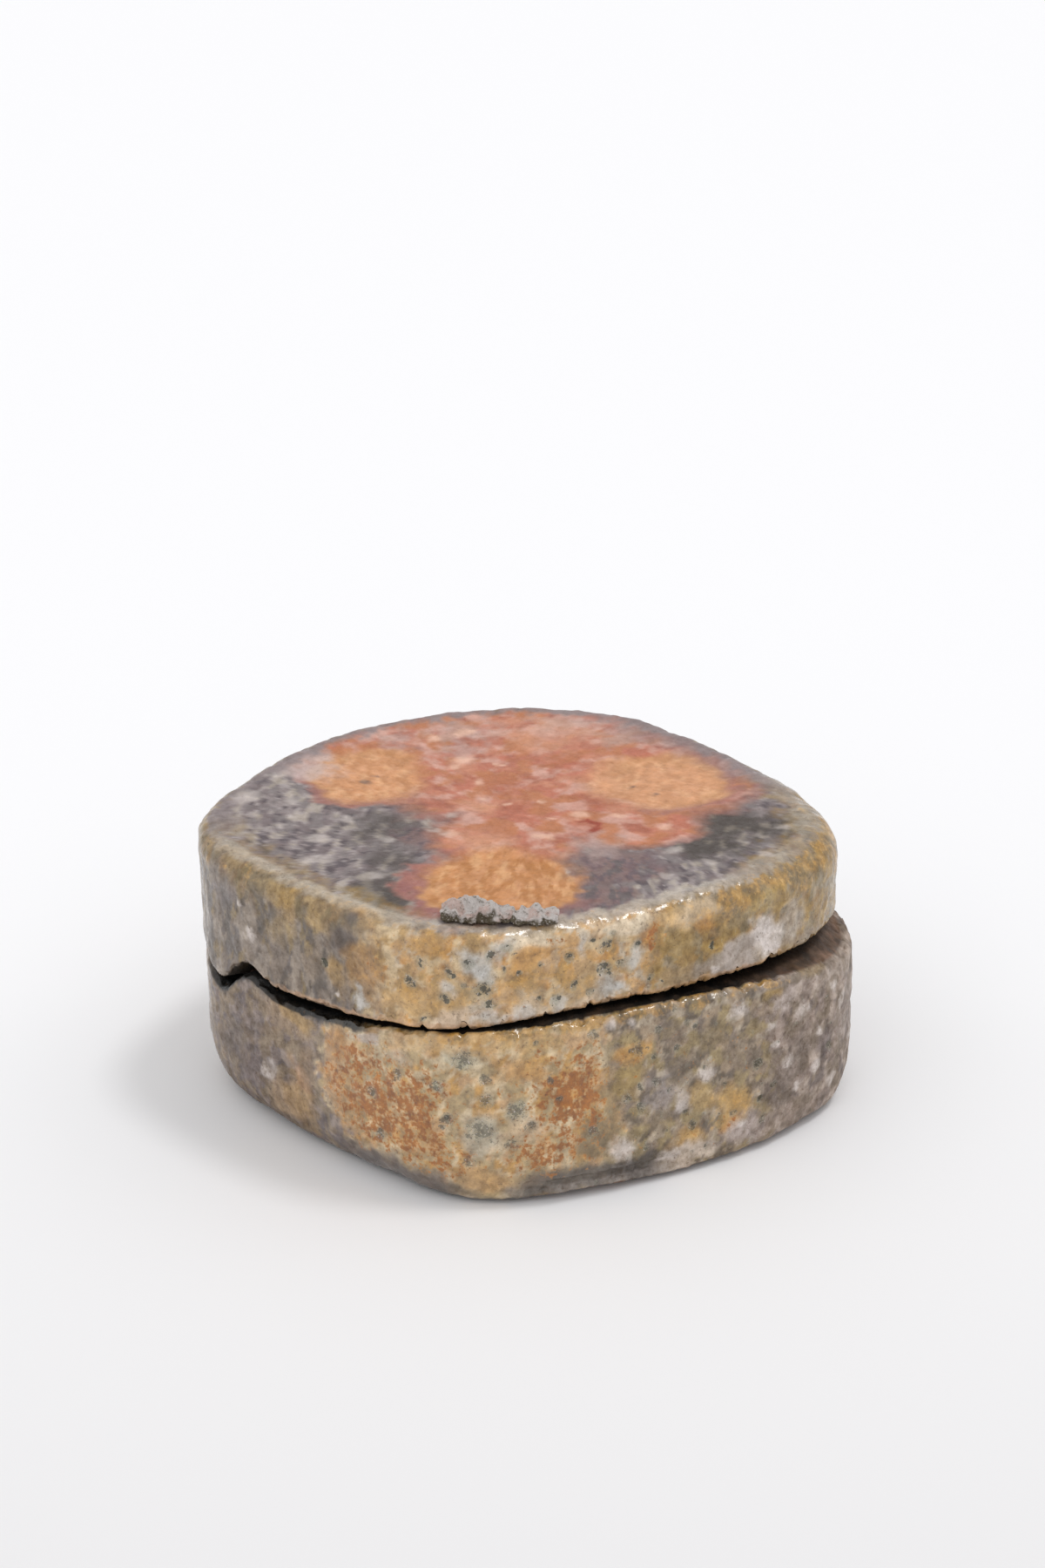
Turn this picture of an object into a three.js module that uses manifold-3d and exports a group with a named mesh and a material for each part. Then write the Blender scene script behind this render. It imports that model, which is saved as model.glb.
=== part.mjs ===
// Wood-fired trinket box, carved from one block of stoneware clay. Six knife cuts shape the
// outside, a wavy cut parts the lid from the base, and a kink in that cut lets the lid sit one
// way round only. Both halves are scooped out, and a low flange on the base locates the lid.
// Millimetres, +Z up, with the foot on z = 0. A bearing is an angle seen from above,
// anticlockwise from +X.

import * as THREE from 'three';
import { mergeVertices } from 'three/addons/utils/BufferGeometryUtils.js';
import Module from 'manifold-3d';

const wasm = await Module();
wasm.setup();

// Mean distance from the axis to a knife cut, at the rim of the base
const BOX_REACH = 38.5;

// Driving sizes of the base
const BASE_HEIGHT = 21.1;
const FLOOR_THICKNESS = 5.5;
const FOOT_BEVEL = 2.4;
const RIM_ROUND = 0.9;
const FLANGE_HEIGHT = 3.2;
const FLANGE_THICKNESS = 2.6;
const CAVITY_DRAFT = 1.5;
const CAVITY_FILLET = 4;

// Driving sizes of the lid
const LID_TOP_THICKNESS = 6.8;
const LID_HEADROOM = 1.5;
const LID_DISH = 0.4;
const SKIRT_THICKNESS = 3.6;
const HEM_ROUND = 0.6;
const RECESS_FILLET = 2;

// Driving sizes of the fit between the two
const FIT_CLEARANCE = 0.7;
const EDGE_CHAMFER = 0.4;

// The six knife cuts: the way each one faces, how much further than the mean it passes from the
// axis at the rim, and how the faces below and above the rim lie to that: out at the belly and
// the foot, in at the lower edge of the lid, and in again from there to the lid's shoulder.
const CUTS = [
  { bearing: 343, rimOut: -2.7, bellyOut: 1.0, footOut: 0.4, hemIn: 2.0, wallIn: 0.6 },
  { bearing: 30, rimOut: 6.4, bellyOut: 0.4, footOut: -1.5, hemIn: 3.3, wallIn: -0.3 },
  { bearing: 88, rimOut: -1.9, bellyOut: 0.2, footOut: -2.2, hemIn: 0.9, wallIn: -0.2 },
  { bearing: 152, rimOut: 0.9, bellyOut: 0.0, footOut: -3.0, hemIn: 0.5, wallIn: -0.5 },
  { bearing: 204, rimOut: -0.1, bellyOut: -0.2, footOut: -4.0, hemIn: 0.1, wallIn: -0.9 },
  { bearing: 275, rimOut: -2.5, bellyOut: 0.0, footOut: -3.6, hemIn: -0.2, wallIn: 0.4 },
];
const CORNER_SHARPNESS = 5.7;

// Values at eight bearings, 45 degrees apart from bearing 0, joined by a smooth closed curve
const SEAM_WAVE = [2.0, 1.2, 0.7, -0.3, -1.5, -2.5, -1.6, 1.9];
const SEAM_GAP = [1.0, 1.2, 0.6, 0.5, 0.6, 0.9, 1.2, 0.4];
const FOOT_LIFT = [0.8, 0.7, 0.5, 0.5, 0.5, 0.5, 0.4, 0.3];
const BELLY_HEIGHT = [6, 5, 8, 9, 9, 9, 7, 5];
const SHOULDER_ROUND = [2.6, 3.8, 2.4, 2.6, 2.4, 2.6, 2.4, 2.4];

// The kink in the seam, the corner where the rim is worn down towards the outside, and the
// stretch of the lower edge that has broken away
const KINK = { bearing: 250.5, width: 5, rise: 1.9 };
const WORN_CORNER = { bearing: 40, width: 18, drop: 2.2 };
const CHIPPED_FOOT = { bearing: 334, width: 11, rise: 0.7 };

// Bare spots where clay wads kept the ash off the lid. The middle of each is set in from the
// lid's wall, and a wad that was squashed is longer towards the middle of the lid.
const WAD_SIZE = 20;
const FRONT_WAD_INSET = 15.8;
const RIGHT_WAD_INSET = 13.4;
const LEFT_WAD_INSET = 13.2;
const WAD_SCARS = [
  { bearing: 307.9, inset: FRONT_WAD_INSET, squash: 0.6 },
  { bearing: 79.3, inset: RIGHT_WAD_INSET, squash: 0 },
  { bearing: 195.8, inset: LEFT_WAD_INSET, squash: 0 },
];
const SCAR_DEPTH = 0.3;
const SCAR_FLOOR_SHARE = 0.7;

// What is left of one wad at the front edge of the lid: a crust that has cracked in two, with
// the crack measured along it from its middle
const CRUST_BEARING = 314.7;
const CRUST_INSET = 4.0;
const CRUST_LENGTH = 13.6;
const CRUST_DEPTH = 3.2;
const CRUST_HEIGHT = 2.2;
const CRUST_CRACK = 1.35;
const CRUST_GAP = 0.3;
const CRUST_THIN_SHARE = 0.74;
const CRUST_BURIED_SHARE = 0.5;
const CRUST_LUMPS = 0.08;

// Fineness of the facets, and how close two points are when they are one
const SEGMENTS = 132;
const WALL_STEPS = 4;
const ROUND_STEPS = 3;
const TOP_SHARES = [0.8, 0.55, 0.3];
const SCAR_SEGMENTS = 24;
const CRUST_DETAIL = 4;
const SAME_POINT = 1e-5;

const FULL_TURN = 2 * Math.PI;
const QUARTER_TURN = Math.PI / 2;

// Signed angle from one bearing to another, at most half a turn either way
function turnBetween(from, to) {
  const turn = to - from;
  return Math.atan2(Math.sin(turn), Math.cos(turn));
}

// Smooth closed curve through values evenly spaced round the box: each value has a weight that
// is 1 at its own bearing and 0 at the others
function around(values) {
  const count = values.length;
  return (bearing) => values.reduce((sum, value, index) => {
    const turn = turnBetween((index * FULL_TURN) / count, bearing);
    const onTheValue = Math.abs(turn) < 1e-9;
    const weight = onTheValue ? 1 : Math.sin((count * turn) / 2) / (count * Math.tan(turn / 2));
    return sum + value * weight;
  }, 0);
}

// Plan outline of the six cuts with softened corners, as a radius for each bearing
function outline(distanceOf) {
  return (bearing) => {
    const sum = CUTS.reduce((total, cut) => {
      const facing = Math.cos(bearing - THREE.MathUtils.degToRad(cut.bearing));
      return total + (Math.max(0, facing) / distanceOf(cut)) ** CORNER_SHARPNESS;
    }, 0);
    return sum ** (-1 / CORNER_SHARPNESS);
  };
}

const reachOf = (cut) => BOX_REACH + cut.rimOut;
const rimAt = outline(reachOf);
const bellyAt = outline((cut) => reachOf(cut) + cut.bellyOut);
const footAt = outline((cut) => reachOf(cut) + cut.footOut);
const hemAt = outline((cut) => reachOf(cut) - cut.hemIn);
const lidWallAt = outline((cut) => reachOf(cut) - cut.hemIn - cut.wallIn);
const recessAt = (bearing) => hemAt(bearing) - SKIRT_THICKNESS;
const flangeAt = (bearing) => recessAt(bearing) - FIT_CLEARANCE;
const cavityAt = (bearing) => flangeAt(bearing) - FLANGE_THICKNESS;

const seamWaveAt = around(SEAM_WAVE);
const seamGapAt = around(SEAM_GAP);
const bellyHeightAt = around(BELLY_HEIGHT);
const shoulderRoundAt = around(SHOULDER_ROUND);

// The seam dips before its kink and rises after it
function kinkAt(bearing) {
  const turn = turnBetween(THREE.MathUtils.degToRad(KINK.bearing), bearing);
  const steps = THREE.MathUtils.radToDeg(turn) / KINK.width;
  return KINK.rise * steps * Math.exp((1 - steps * steps) / 2);
}

// Bell-shaped hump that is 1 at its own bearing and fades out over its width
function humpAt(bearing, hump) {
  const turn = turnBetween(THREE.MathUtils.degToRad(hump.bearing), bearing);
  const steps = THREE.MathUtils.radToDeg(turn) / hump.width;
  return Math.exp(-steps * steps);
}

const footCurveAt = around(FOOT_LIFT);
const footChipAt = (bearing) => CHIPPED_FOOT.rise * humpAt(bearing, CHIPPED_FOOT);
const footLiftAt = (bearing) => footCurveAt(bearing) + footChipAt(bearing);
const wornDropAt = (bearing) => WORN_CORNER.drop * humpAt(bearing, WORN_CORNER);
const rimHeightAt = (bearing) => BASE_HEIGHT + seamWaveAt(bearing) + kinkAt(bearing);
const hemHeightAt = (bearing) => rimHeightAt(bearing) + seamGapAt(bearing);
const flangeTopAt = (bearing) => BASE_HEIGHT + seamWaveAt(bearing) + FLANGE_HEIGHT;

const bearings = Array.from({ length: SEGMENTS }, (_, index) => (index * FULL_TURN) / SEGMENTS);
const CEILING_HEIGHT = Math.max(...bearings.map(flangeTopAt)) + LID_HEADROOM;
const BOX_HEIGHT = CEILING_HEIGHT + LID_TOP_THICKNESS;

const point = (radius, height) => new THREE.Vector2(radius, height);

// Fractions of a stretch from just past its start to its end
const stepsOf = (count) => Array.from({ length: count }, (_, index) => (index + 1) / count);

// Quarter of an ellipse from the end of the flat side, bulging away from the corner it rounds
function quarterRound(from, to, leavesLevel) {
  return stepsOf(ROUND_STEPS).map((step) => {
    const angle = step * QUARTER_TURN;
    const early = Math.sin(angle);
    const late = 1 - Math.cos(angle);
    const across = leavesLevel ? early : late;
    const up = leavesLevel ? late : early;
    return point(from.x + (to.x - from.x) * across, from.y + (to.y - from.y) * up);
  });
}

// Section of the base at one bearing, from the middle of the foot, up the outside, over the
// flange and down to the middle of the floor
function baseSection(bearing) {
  const foot = footAt(bearing);
  const belly = bellyAt(bearing);
  const rim = rimAt(bearing);
  const flange = flangeAt(bearing);
  const cavity = cavityAt(bearing);
  const lift = footLiftAt(bearing);
  const bellyTop = lift + bellyHeightAt(bearing);
  const landHeight = rimHeightAt(bearing);
  const edgeHeight = landHeight - wornDropAt(bearing);
  const flangeTop = flangeTopAt(bearing);

  const lowerEdge = point(foot, lift);
  const bellyEnd = point(belly, bellyTop);
  const wallEnd = point(rim, edgeHeight - RIM_ROUND);
  const wall = stepsOf(WALL_STEPS).map((step) => {
    const blend = THREE.MathUtils.smoothstep(step, 0, 1);
    return point(belly + (rim - belly) * blend, bellyTop + (wallEnd.y - bellyTop) * step);
  });
  const landEdge = point(rim - RIM_ROUND, edgeHeight);
  const landMiddle = point((landEdge.x + flange) / 2, landHeight - (landHeight - edgeHeight) / 4);
  const cavityFoot = point(cavity - CAVITY_DRAFT, FLOOR_THICKNESS + CAVITY_FILLET);
  const floorEdge = point(cavityFoot.x - CAVITY_FILLET, FLOOR_THICKNESS);

  return [
    point(0, 0),
    point(foot - FOOT_BEVEL, 0),
    lowerEdge,
    ...quarterRound(lowerEdge, bellyEnd, true),
    ...wall,
    ...quarterRound(wallEnd, landEdge, false),
    landMiddle,
    point(flange, landHeight),
    point(flange, flangeTop - EDGE_CHAMFER),
    point(flange - EDGE_CHAMFER, flangeTop),
    point(cavity + EDGE_CHAMFER, flangeTop),
    point(cavity, flangeTop - EDGE_CHAMFER),
    cavityFoot,
    ...quarterRound(cavityFoot, floorEdge, false),
    point(0, FLOOR_THICKNESS),
  ];
}

// Section of the lid at one bearing, from the middle of its ceiling, down the recess, round the
// lower edge, up the outside, over the shoulder and across the slightly dished top
function lidSection(bearing) {
  const hem = hemAt(bearing);
  const wall = lidWallAt(bearing);
  const recess = recessAt(bearing);
  const hemHeight = hemHeightAt(bearing);
  const shoulder = shoulderRoundAt(bearing);

  const ceilingEdge = point(recess - RECESS_FILLET, CEILING_HEIGHT);
  const recessTop = point(recess, CEILING_HEIGHT - RECESS_FILLET);
  const hemEdge = point(hem - HEM_ROUND, hemHeight);
  const wallFoot = point(hem, hemHeight + HEM_ROUND);
  const wallTop = point(wall, BOX_HEIGHT - shoulder);
  const topEdge = point(wall - shoulder, BOX_HEIGHT);
  const side = stepsOf(WALL_STEPS).map((step) => {
    const blend = Math.sin(step * QUARTER_TURN);
    return point(hem + (wall - hem) * blend, wallFoot.y + (wallTop.y - wallFoot.y) * step);
  });
  const top = TOP_SHARES.map((share) => {
    return point(topEdge.x * share, BOX_HEIGHT - LID_DISH * (1 - share * share));
  });

  return [
    point(0, CEILING_HEIGHT),
    ceilingEdge,
    ...quarterRound(ceilingEdge, recessTop, true),
    point(recess, hemHeight + EDGE_CHAMFER),
    point(recess + EDGE_CHAMFER, hemHeight),
    hemEdge,
    ...quarterRound(hemEdge, wallFoot, true),
    ...side,
    ...quarterRound(wallTop, topEdge, false),
    ...top,
    point(0, BOX_HEIGHT - LID_DISH),
  ];
}

// Closed body whose section changes with the bearing: a lathe gives the grid, and each of its
// points takes its place from the section at its own bearing
function carvedBody(sectionAt) {
  const stations = sectionAt(0).length;
  const geometry = new THREE.LatheGeometry(sectionAt(0), SEGMENTS);
  const position = geometry.getAttribute('position');
  [...bearings, 0].forEach((bearing, segment) => {
    sectionAt(bearing).forEach(({ x: radius, y: height }, station) => {
      const x = radius * Math.cos(bearing);
      const y = radius * Math.sin(bearing);
      position.setXYZ(segment * stations + station, x, y, height);
    });
  });
  return geometry;
}

// Geometry with its shared vertices merged, holding nothing but their positions
function merged(geometry) {
  const bare = geometry.clone();
  bare.deleteAttribute('normal');
  bare.deleteAttribute('uv');
  return mergeVertices(bare, SAME_POINT);
}

function toSolid(geometry) {
  const whole = merged(geometry);
  return new wasm.Manifold(new wasm.Mesh({
    numProp: 3,
    vertProperties: new Float32Array(whole.getAttribute('position').array),
    triVerts: new Uint32Array(whole.getIndex().array),
  }));
}

function toGeometry(solid) {
  const { vertProperties, triVerts } = solid.getMesh();
  const geometry = new THREE.BufferGeometry();
  geometry.setAttribute('position', new THREE.BufferAttribute(vertProperties, 3));
  geometry.setIndex(new THREE.BufferAttribute(triVerts, 1));
  geometry.computeVertexNormals();
  return geometry;
}

// Height of the dished top of the lid at a place on it
function topHeightAt(x, y) {
  const bearing = Math.atan2(y, x);
  const share = Math.hypot(x, y) / (lidWallAt(bearing) - shoulderRoundAt(bearing));
  return BOX_HEIGHT - LID_DISH * (1 - Math.min(1, share) ** 2);
}

// Flat-bottomed dish, as wide at the lid's surface as the wad was, that is sunk into the top of
// the lid to leave one bare spot. Its length lies towards the middle of the lid.
function scarCutter({ bearing, inset, squash }) {
  const angle = THREE.MathUtils.degToRad(bearing);
  const reach = lidWallAt(angle) - inset;
  const x = reach * Math.cos(angle);
  const y = reach * Math.sin(angle);
  const aboveTop = SCAR_DEPTH + LID_DISH;
  const profile = [
    point(0, -SCAR_DEPTH),
    point(SCAR_FLOOR_SHARE, -SCAR_DEPTH),
    point(1, 0),
    point(1, aboveTop),
    point(0, aboveTop),
  ];
  const dish = new THREE.LatheGeometry(profile, SCAR_SEGMENTS);
  dish.rotateX(QUARTER_TURN);
  dish.scale((WAD_SIZE + squash) / 2, WAD_SIZE / 2, 1);
  dish.rotateZ(angle);
  dish.translate(x, y, topHeightAt(x, y));
  return dish;
}

// Broken crumb of wad clay: a rounded block with a lumpy skin, standing on z = 0 and reaching
// some way under it, so that the surface it was fused to can be cut out of it
function crumb(length, depth, height, phase) {
  const geometry = new THREE.IcosahedronGeometry(1, CRUST_DETAIL);
  const position = geometry.getAttribute('position');
  const spot = new THREE.Vector3();
  const buried = height * CRUST_BURIED_SHARE;
  for (let index = 0; index < position.count; index += 1) {
    spot.fromBufferAttribute(position, index);
    const lumps = Math.sin(7 * spot.x + phase) * Math.cos(5 * spot.y - phase);
    const fourth = spot.x ** 4 + spot.y ** 4 + spot.z ** 4;
    spot.multiplyScalar((1 + CRUST_LUMPS * lumps) / fourth ** 0.25);
    const rise = ((spot.z + 1) * (height + buried)) / 2 - buried;
    position.setXYZ(index, (spot.x * length) / 2, (spot.y * depth) / 2, rise);
  }
  return geometry;
}

// Stretch of the crust from one place along it to another, set down on the front arris of the
// lid, and cut to the top of the lid with a hair of room under it
function crust(start, end, thinness, phase, raisedLid) {
  const bearing = THREE.MathUtils.degToRad(CRUST_BEARING);
  const reach = lidWallAt(bearing) - CRUST_INSET;
  const along = (start + end) / 2;
  const geometry = crumb(end - start, CRUST_DEPTH * thinness, CRUST_HEIGHT * thinness, phase);
  geometry.rotateZ(bearing + QUARTER_TURN);
  const x = reach * Math.cos(bearing) - along * Math.sin(bearing);
  const y = reach * Math.sin(bearing) + along * Math.cos(bearing);
  geometry.translate(x, y, topHeightAt(x, y) + CRUST_GAP);
  return toGeometry(toSolid(geometry).subtract(raisedLid));
}

function named(name, geometry, material) {
  const mesh = new THREE.Mesh(geometry, material);
  mesh.name = name;
  return mesh;
}

const CLAY = new THREE.MeshStandardMaterial({ color: 0x8f8578, roughness: 0.6, metalness: 0 });
const FIRED_LID = new THREE.MeshStandardMaterial({ color: 0x8a6f5c, roughness: 0.5, metalness: 0 });
const WAD_CLAY = new THREE.MeshStandardMaterial({ color: 0xa8a19e, roughness: 0.9, metalness: 0 });

const base = merged(carvedBody(baseSection));
base.computeVertexNormals();

const lidSolid = WAD_SCARS.reduce(
  (solid, scar) => solid.subtract(toSolid(scarCutter(scar))),
  toSolid(carvedBody(lidSection)),
);
const lid = toGeometry(lidSolid);
const raisedLid = toSolid(lid.clone().translate(0, 0, CRUST_GAP));

const box = new THREE.Group();
box.add(named('box_base', base, CLAY));
box.add(named('lid', lid, FIRED_LID));
const leftCrust = crust(-CRUST_LENGTH / 2, CRUST_CRACK - CRUST_GAP / 2, 1, 0.4, raisedLid);
const rightCrust = crust(
  CRUST_CRACK + CRUST_GAP / 2, CRUST_LENGTH / 2, CRUST_THIN_SHARE, 2.1, raisedLid,
);
box.add(named('wad_crust_left', leftCrust, WAD_CLAY));
box.add(named('wad_crust_right', rightCrust, WAD_CLAY));

// The middle of the box in plan goes over the origin
const extent = new THREE.Box3().setFromObject(box);
const middle = extent.getCenter(new THREE.Vector3());
box.position.set(-middle.x, -middle.y, 0);

export default box;
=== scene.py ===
"""Wood-fired trinket box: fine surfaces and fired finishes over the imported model.

The form is worked out in millimetres round the axis that the knife cuts were measured from. A
bearing is an angle seen from above, anticlockwise from +X. Each surface is a grid, with rings
along its section and steps round the box, and it is put into metres and over the frame's origin
when its mesh is made.
"""

import math
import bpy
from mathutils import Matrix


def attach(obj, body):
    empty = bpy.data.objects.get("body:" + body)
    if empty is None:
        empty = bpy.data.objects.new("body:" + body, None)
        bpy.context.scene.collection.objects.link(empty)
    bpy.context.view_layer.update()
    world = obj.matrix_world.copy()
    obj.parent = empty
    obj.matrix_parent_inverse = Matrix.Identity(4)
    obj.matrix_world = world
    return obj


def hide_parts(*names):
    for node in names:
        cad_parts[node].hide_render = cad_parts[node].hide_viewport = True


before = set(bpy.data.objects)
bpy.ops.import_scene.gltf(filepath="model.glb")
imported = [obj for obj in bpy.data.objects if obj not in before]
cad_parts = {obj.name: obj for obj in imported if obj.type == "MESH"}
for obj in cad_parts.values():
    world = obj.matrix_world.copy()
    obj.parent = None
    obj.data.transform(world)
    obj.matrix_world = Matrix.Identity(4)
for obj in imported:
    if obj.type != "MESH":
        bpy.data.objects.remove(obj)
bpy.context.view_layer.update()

from types import SimpleNamespace

import bpy
import numpy as np

MM = 0.001

# Where the axis of the cuts stands in the frame, in mm
AXIS = np.array([0.1535, -0.0128, 0.0])

# The six knife cuts, as columns: the way each faces, how far out its rim is, then how far the
# belly and foot stand out from the rim, and the lid's lower edge and wall stand in
CUT_BEARING = np.array([343, 30, 88, 152, 204, 275])
RIM_REACH = np.array([35.8, 44.9, 36.6, 39.4, 38.4, 36.0])
BELLY_OUT = np.array([1.0, 0.4, 0.2, 0.0, -0.2, 0.0])
FOOT_OUT = np.array([0.4, -1.5, -2.2, -3.0, -4.0, -3.6])
HEM_IN = np.array([2.0, 3.3, 0.9, 0.5, 0.1, -0.2])
WALL_IN = np.array([0.6, -0.3, -0.2, -0.5, -0.9, 0.4])
CORNER_SHARPNESS = 5.7

# Values at eight bearings, 45 degrees apart from bearing 0
SEAM_WAVE = [2.0, 1.2, 0.7, -0.3, -1.5, -2.5, -1.6, 1.9]
SEAM_GAP = [1.0, 1.2, 0.6, 0.5, 0.6, 0.9, 1.2, 0.4]
FOOT_LIFT = [0.8, 0.7, 0.5, 0.5, 0.5, 0.5, 0.4, 0.3]
BELLY_HEIGHT = [6, 5, 8, 9, 9, 9, 7, 5]
SHOULDER_ROUND = [2.6, 3.8, 2.4, 2.6, 2.4, 2.6, 2.4, 2.4]

# Kink of the seam, worn corner of the rim and chipped stretch of the foot: bearing, width, size
KINK = (250.5, 5, 1.9)
WORN_CORNER = (40, 18, 2.2)
CHIPPED_FOOT = (334, 11, 0.7)

# Sizes along the two sections
BASE_HEIGHT = 21.1
FLOOR_THICKNESS = 5.5
FOOT_BEVEL = 2.4
RIM_ROUND = 0.9
FLANGE_HEIGHT = 3.2
FLANGE_THICKNESS = 2.6
CAVITY_DRAFT = 1.5
CAVITY_FILLET = 4
LID_TOP_THICKNESS = 6.8
LID_HEADROOM = 1.5
LID_DISH = 0.4
SKIRT_THICKNESS = 3.6
HEM_ROUND = 0.6
RECESS_FILLET = 2
FIT_CLEARANCE = 0.7
EDGE_CHAMFER = 0.4

# Bare spots left by the clay wads on the lid: middle x and y, length and width, way it lies
WAD_SCARS = [
    (12.9, -16.6, 20.6, 20.0, 307.9),
    (4.2, 22.3, 20.0, 20.0, 79.3),
    (-24.4, -6.9, 20.0, 20.0, 195.8),
]
SCAR_DEPTH = 0.3

# Orange left by each wad: its place measured the same way, how softly it ends, how pale it is,
# how strong the rose beside it is, and the bearing that the rose lies at
WAD_MARKS = [
    ((13.9, -15.4, 20.4, 19.6, 308), 0.02, 0.0, 0.95, 250),
    ((3.5, 21.4, 17.5, 17.5, 0), 0.12, 0.28, 0.85, 10),
    ((-23.8, -6.2, 18.0, 14.8, 319), 0.1, 0.18, 0.8, 285),
]

# Steps of the grids round the box, rings across the top of the lid, the radius that turns a
# bearing on the side into a length in mm, and a bearing behind the box
STEPS_ROUND = 740
TOP_RINGS = 59
SIDE_RADIUS = 37.0
BACK = 140


def smooth(value, low, high):
    """Fade from 0 at low to 1 at high, level at both ends: t t (3 - 2 t)."""
    share = np.clip((value - low) / (high - low), 0, 1)
    return share * share * (3 - 2 * share)


def band(value, low, high, edge):
    """1 between low and high, fading to 0 over the edge width on each side."""
    return smooth(value, low - edge, low) * (1 - smooth(value, high, high + edge))


def around(values, bearing):
    """Smooth closed curve through values evenly spaced round the box: each value is weighted by
    sin(n t / 2) / (n tan(t / 2)), where t is the turn from its bearing and n the count."""
    count = len(values)
    total = np.zeros_like(bearing)
    for index, value in enumerate(values):
        turn = bearing - index * 2 * np.pi / count
        turn = np.where(np.abs(np.sin(turn / 2)) < 1e-9, 1e-7, turn)
        total += value * np.sin(count * turn / 2) / (count * np.tan(turn / 2))
    return total


def outline(reach, bearing):
    """Plan outline of the cuts. The radius is a sum to the power -1/n: over the cuts, of the
    cosine of the turn from the cut's bearing over its distance, to the power n."""
    facing = np.cos(bearing[..., None] - np.radians(CUT_BEARING))
    total = ((np.maximum(facing, 0) / reach) ** CORNER_SHARPNESS).sum(-1)
    return total ** (-1 / CORNER_SHARPNESS)


def degrees_from(bearing, middle):
    """Signed turn in degrees from a bearing given in degrees, at most half a turn."""
    return (np.degrees(bearing) - middle + 180) % 360 - 180


def hump(bearing, place):
    """Bell-shaped rise at a place: its size times exp of minus the square of the turn in widths."""
    middle, width, size = place
    return size * np.exp(-(degrees_from(bearing, middle) / width) ** 2)


def kink(bearing):
    """The seam dips before its kink and rises after it: u exp((1 - u u) / 2) times the rise."""
    middle, width, rise = KINK
    turns = degrees_from(bearing, middle) / width
    return rise * turns * np.exp((1 - turns ** 2) / 2)


BEARING = np.arange(STEPS_ROUND) * 2 * np.pi / STEPS_ROUND
RIM = outline(RIM_REACH, BEARING)
BELLY = outline(RIM_REACH + BELLY_OUT, BEARING)
FOOT = outline(RIM_REACH + FOOT_OUT, BEARING)
HEM = outline(RIM_REACH - HEM_IN, BEARING)
LID_WALL = outline(RIM_REACH - HEM_IN - WALL_IN, BEARING)
RECESS = HEM - SKIRT_THICKNESS
FLANGE = RECESS - FIT_CLEARANCE
CAVITY = FLANGE - FLANGE_THICKNESS

FOOT_HEIGHT = around(FOOT_LIFT, BEARING) + hump(BEARING, CHIPPED_FOOT)
SHOULDER = around(SHOULDER_ROUND, BEARING)
LAND_HEIGHT = BASE_HEIGHT + around(SEAM_WAVE, BEARING) + kink(BEARING)
EDGE_HEIGHT = LAND_HEIGHT - hump(BEARING, WORN_CORNER)
HEM_HEIGHT = LAND_HEIGHT + around(SEAM_GAP, BEARING)
FLANGE_TOP = BASE_HEIGHT + around(SEAM_WAVE, BEARING) + FLANGE_HEIGHT
CEILING = FLANGE_TOP.max() + LID_HEADROOM
BOX_HEIGHT = CEILING + LID_TOP_THICKNESS


# Noise on a lattice of random slopes
LATTICE = 32
random = np.random.default_rng(7)
SLOPES = random.normal(size=(LATTICE ** 3, 3)).astype(np.float32)
SLOPES /= np.linalg.norm(SLOPES, axis=-1, keepdims=True)
NOISE_GAIN = 1.5
SEED_STEP = np.array([17.3, 5.7, 31.1])


def noise(points, size, seed=0):
    """Noise from about -1 to 1 with lumps of the given size in mm: each lattice corner gives a
    random slope, and the eight are blended by 6 t^5 - 15 t^4 + 10 t^3 along each axis."""
    place = (points / size + SEED_STEP * (seed + 1) % LATTICE).astype(np.float32)
    cell = np.floor(place).astype(np.int32)
    local = place - cell
    ease = local * local * local * (local * (local * 6 - 15) + 10)
    total = np.zeros(points.shape[:-1], np.float32)
    for corner in np.ndindex(2, 2, 2):
        x, y, z = ((cell[..., axis] + corner[axis]) % LATTICE for axis in range(3))
        slope = SLOPES[(x * LATTICE + y) * LATTICE + z]
        weight = NOISE_GAIN
        for axis in range(3):
            weight = weight * (ease[..., axis] if corner[axis] else 1 - ease[..., axis])
        total += weight * np.einsum("...k,...k", slope, local - np.float32(corner))
    return total


def layered(points, size, seed=0, layers=3):
    """Noise summed over sizes that halve, each half as strong as the one before."""
    return sum(noise(points, size / 2 ** k, seed + k) / 2 ** k for k in range(layers))


def crumpled(points, size, reach, seed=0):
    """The points, each pushed up to about the reach by noise, so that borders wander."""
    push = np.stack([noise(points, size, seed + 10 * axis) for axis in range(3)], -1)
    return points + reach * push


# Sections
def at(radius, height):
    """One point of a section for every bearing: its radius and its height."""
    return np.stack(np.broadcast_arrays(radius, height, BEARING)[:2]).astype(float)


def stretch(start, end, count, curve="straight"):
    """Rings from just past the start to the end. A straight one moves both ways evenly. A round
    one is a quarter ellipse that leaves the start level or upright. A swept one eases its radius
    in and out, and a battered one draws its radius in by a quarter sine."""
    share = (np.arange(count) + 1) / count
    quarter = share * np.pi / 2
    across, up = {
        "straight": (share, share),
        "leaves level": (np.sin(quarter), 1 - np.cos(quarter)),
        "leaves upright": (1 - np.cos(quarter), np.sin(quarter)),
        "swept": (smooth(share, 0, 1), share),
        "battered": (np.sin(quarter), share),
    }[curve]
    shares = np.stack([across, up], 1)[..., None]
    return start + (end - start) * shares


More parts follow.
